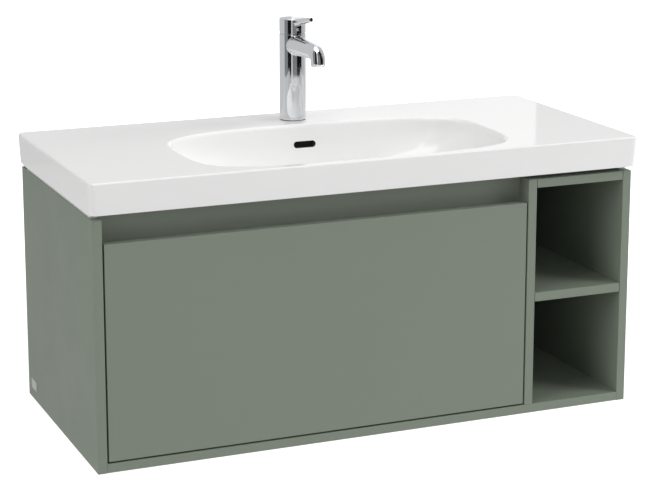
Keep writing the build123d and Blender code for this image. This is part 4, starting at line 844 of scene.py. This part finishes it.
def leverForm():
    # a slim even taper from inside the cap to a round tip; the extra radius of its root fades over
    # the first stretch as (1 - (s + inside) / (fall + inside))^2
    t = tapShape
    start, end = np.array(t["leverStart"]), np.array(t["leverEnd"])
    length = float(np.hypot(*(end - start)))
    along = (end - start) / length
    side = np.array([-along[1], along[0]])
    angle = np.linspace(0, 2 * np.pi, t["leverSteps"], endpoint=False)
    inside, straight = t["leverInside"], length - t["leverRound"]
    stations = np.concatenate([np.linspace(first, straight if last is None else last, steps)
                               for first, last, steps in t["leverStations"]])
    radius = t["leverRoot"] + (t["leverTip"] - t["leverRoot"]) * np.clip(stations, 0, None) / length
    fade = np.clip(1 - (stations + inside) / (t["bossFall"] + inside), 0, 1) ** 2
    radius = radius + (t["bossRadius"] - t["leverRoot"]) * fade
    tip = quarterArc(straight, t["leverTip"] - t["leverRound"], t["leverRound"], 90, 0,
                     t["leverRoundSteps"])
    profile = np.concatenate([[(-inside, 0.0)], np.stack([stations, radius], -1), tip[1:], [(length, 0.0)]])
    s, r = profile[:, :1], profile[:, 1:]
    grid = np.stack([
        r * np.cos(angle),
        start[0] + s * along[0] + r * np.sin(angle) * side[0],
        start[1] + s * along[1] + r * np.sin(angle) * side[1],
    ], -1)
    return gridForm(grid)


for name, form, body, nodeName in (
        ("tap-body-turned", tapBodyForm(), "carcass", "tap_body"),
        ("tap-spout-bent", spoutForm(), "carcass", "tap_spout"),
        ("tap-cap-turned", capForm(), "tap_lever", "handle_cap"),
        ("tap-lever-tapered", leverForm(), "tap_lever", "lever")):
    place(meshObject(name, form, weighted=False), body, "chrome", materials["chrome"], nodeName)
print("tap made")

# pale floor, white surroundings, soft lamps (position, target, size, watts) and the drum of cards
# for the chrome (from angle, to angle, lower end, shade), in metres and degrees; floorGlow is the
# floor's own white near and far, glowReach where it grows, surroundLight how much of the white lights
stageValues = {
    "floorZ": -0.40, "floorHalf": 40.0, "floorColour": (0.82, 0.82, 0.82, 1), "floorGlow": (0.4, 1.0),
    "glowReach": (1.0, 3.5), "glowMirrored": 0.3, "surroundLight": 0.298,
    "lamps": {
        "left": ((-4.2, -1.6, 2.2), (0.0, 0.0, 0.3), 2.6, 68.4),
        "front": ((-0.6, -5.2, 2.6), (0.0, 0.0, 0.3), 2.6, 23.3),
        "above": ((-0.4, -0.2, 3.4), (0.0, 0.0, 0.4), 2.2, 36.0),
        "right": ((3.4, -2.4, 3.4), (-0.2, 0.0, 0.4), 1.8, 74.0),
        "side": ((4.6, 0.2, 2.4), (-0.3, 0.0, 0.45), 1.6, 78.0),
        "low": ((4.0, -2.7, 0.9), (0.0, 0.0, 0.3), 1.6, 34.1),
    },
    "cardDrum": 1.15, "cardTop": 3.2, "cardZero": -111.540175, "cardSteps": 12,
    "cards": [(-180, -74, 0.22, 0.62), (-74, -42, 0.38, 0.24), (-42, -11, 0.38, 0.008), (0, 38, 0.38, 0.22),
              (38, 84, 0.38, 0.008), (84, 116, 0.38, 0.5), (116, 150, 0.22, 0.62)],
}


def evenMaterial(name, colour, glow):
    # a matt surface of one plain colour with a light of its own, for the floor and the cards
    material = bpy.data.materials.new(name)
    material.use_nodes = True
    shader = material.node_tree.nodes["Principled BSDF"]
    values = {"Base Color": colour, "Roughness": 1.0, "Specular IOR Level": 0.0, "Emission Color": glow,
              "Emission Strength": 1.0}
    for key, value in values.items():
        shader.inputs[key].default_value = value
    return material


def seenShare(tree, mirrored):
    # one for what the camera sees straight or through glass, and a share of it for reflections
    rays = tree.nodes.new("ShaderNodeLightPath").outputs
    glossy = mathOf(tree, "MULTIPLY", rays["Is Glossy Ray"], mirrored)
    seen = mathOf(tree, "MAXIMUM", rays["Is Camera Ray"], glossy)
    return mathOf(tree, "MAXIMUM", seen, rays["Is Transmission Ray"])


def floorMaterial():
    # lit floor that also shows its own white, growing smoothly from its near to its far value with
    # the distance from the object, so that the shadow stays
    s = stageValues
    material = evenMaterial("paleFloor", s["floorColour"], (1, 1, 1, 1))
    tree = material.node_tree
    spot = tree.nodes.new("ShaderNodeTexCoord").outputs["Object"]
    away = shaderNode(tree, "VectorMath", {"operation": "LENGTH"})
    wire(tree, away.inputs[0], spot)
    growth = shaderNode(tree, "MapRange", {"interpolation_type": "SMOOTHSTEP"})
    wire(tree, growth.inputs[0], away.outputs["Value"])
    for socket, value in zip(growth.inputs[1:5], (*s["glowReach"], *s["floorGlow"])):
        socket.default_value = value
    strength = mathOf(tree, "MULTIPLY", seenShare(tree, s["glowMirrored"]), growth.outputs[0])
    tree.links.new(strength, tree.nodes["Principled BSDF"].inputs["Emission Strength"])
    return material


def stageObject(name, points, faces, material):
    mesh = bpy.data.meshes.new(name)
    mesh.from_pydata(points, [], faces)
    mesh.materials.append(material)
    made = newObject(name, mesh)
    return made


def makeStage():
    s = stageValues
    half, z = s["floorHalf"], s["floorZ"]
    corners = [(-half, -half, z), (half, -half, z), (half, half, z), (-half, half, z)]
    stageObject("floor", corners, [(0, 1, 2, 3)], floorMaterial())

    # surroundings: white to look at, and lighting the object with a share of that white
    world = bpy.data.worlds.new("surround")
    bpy.context.scene.world = world
    world.use_nodes = True
    tree = world.node_tree
    background = tree.nodes["Background"]
    background.inputs["Color"].default_value = (1, 1, 1, 1)
    shown = mathOf(tree, "MULTIPLY", seenShare(tree, 1.0), 1 - s["surroundLight"])
    tree.links.new(mathOf(tree, "ADD", shown, s["surroundLight"]), background.inputs["Strength"])


def softLamp(name, position, target, size, watts):
    lamp = bpy.data.lights.new(name, "AREA")
    lamp.shape, lamp.size, lamp.energy = "SQUARE", size, watts
    made = newObject(name, lamp)
    made.location = position
    made.rotation_euler = (Vector(target) - Vector(position)).to_track_quat("-Z", "Y").to_euler()


def reflectionCard(name, fromAngle, toAngle, low, shade):
    # an upright strip of a wide drum about the tap, x = R cos(a) and y = tap + R sin(a), seen only in
    # reflections; its angles are counted to the right from cardZero, which points at the camera
    s = stageValues
    angle = np.radians(np.linspace(fromAngle, toAngle, s["cardSteps"]) + s["cardZero"])
    x, y = s["cardDrum"] * np.cos(angle), tapShape["y"] * millimetre + s["cardDrum"] * np.sin(angle)
    points, faces = gridForm(np.stack([np.stack([x, y, z + 0 * x], -1) for z in (low, s["cardTop"])]),
                             wrapCols=False)
    material = evenMaterial(name, (0, 0, 0, 1), (shade, shade, shade, 1))
    card = stageObject(name, points.tolist(), faces, material)
    card.visible_camera = card.visible_diffuse = card.visible_shadow = False


makeStage()
for name, lampValues in stageValues["lamps"].items():
    softLamp(name, *lampValues)
for number, cardValues in enumerate(stageValues["cards"]):
    reflectionCard("card" + str(number), *cardValues)
print("stage and lamps made")

# camera: metres, degrees to the right and down, lens and sensor in millimetres
cameraValues = {
    "position": (-1.3244, -3.1735, 1.1674), "turn": 22.658, "down": 12.183, "lens": 108.84,
    "shift": (0.002, -0.12), "sensor": 36.0, "clip": (0.05, 200.0),
}


def makeCamera():
    c = cameraValues
    data = bpy.data.cameras.new("camera")
    data.lens, data.sensor_width = c["lens"], c["sensor"]
    data.shift_x, data.shift_y = c["shift"]
    data.clip_start, data.clip_end = c["clip"]
    camera = newObject("camera", data)
    camera.location = c["position"]
    camera.rotation_euler = Euler((math.radians(90 - c["down"]), 0, math.radians(-c["turn"])), "XYZ")
    bpy.context.scene.camera = camera


makeCamera()
bpy.context.scene.view_settings.view_transform = "Standard"
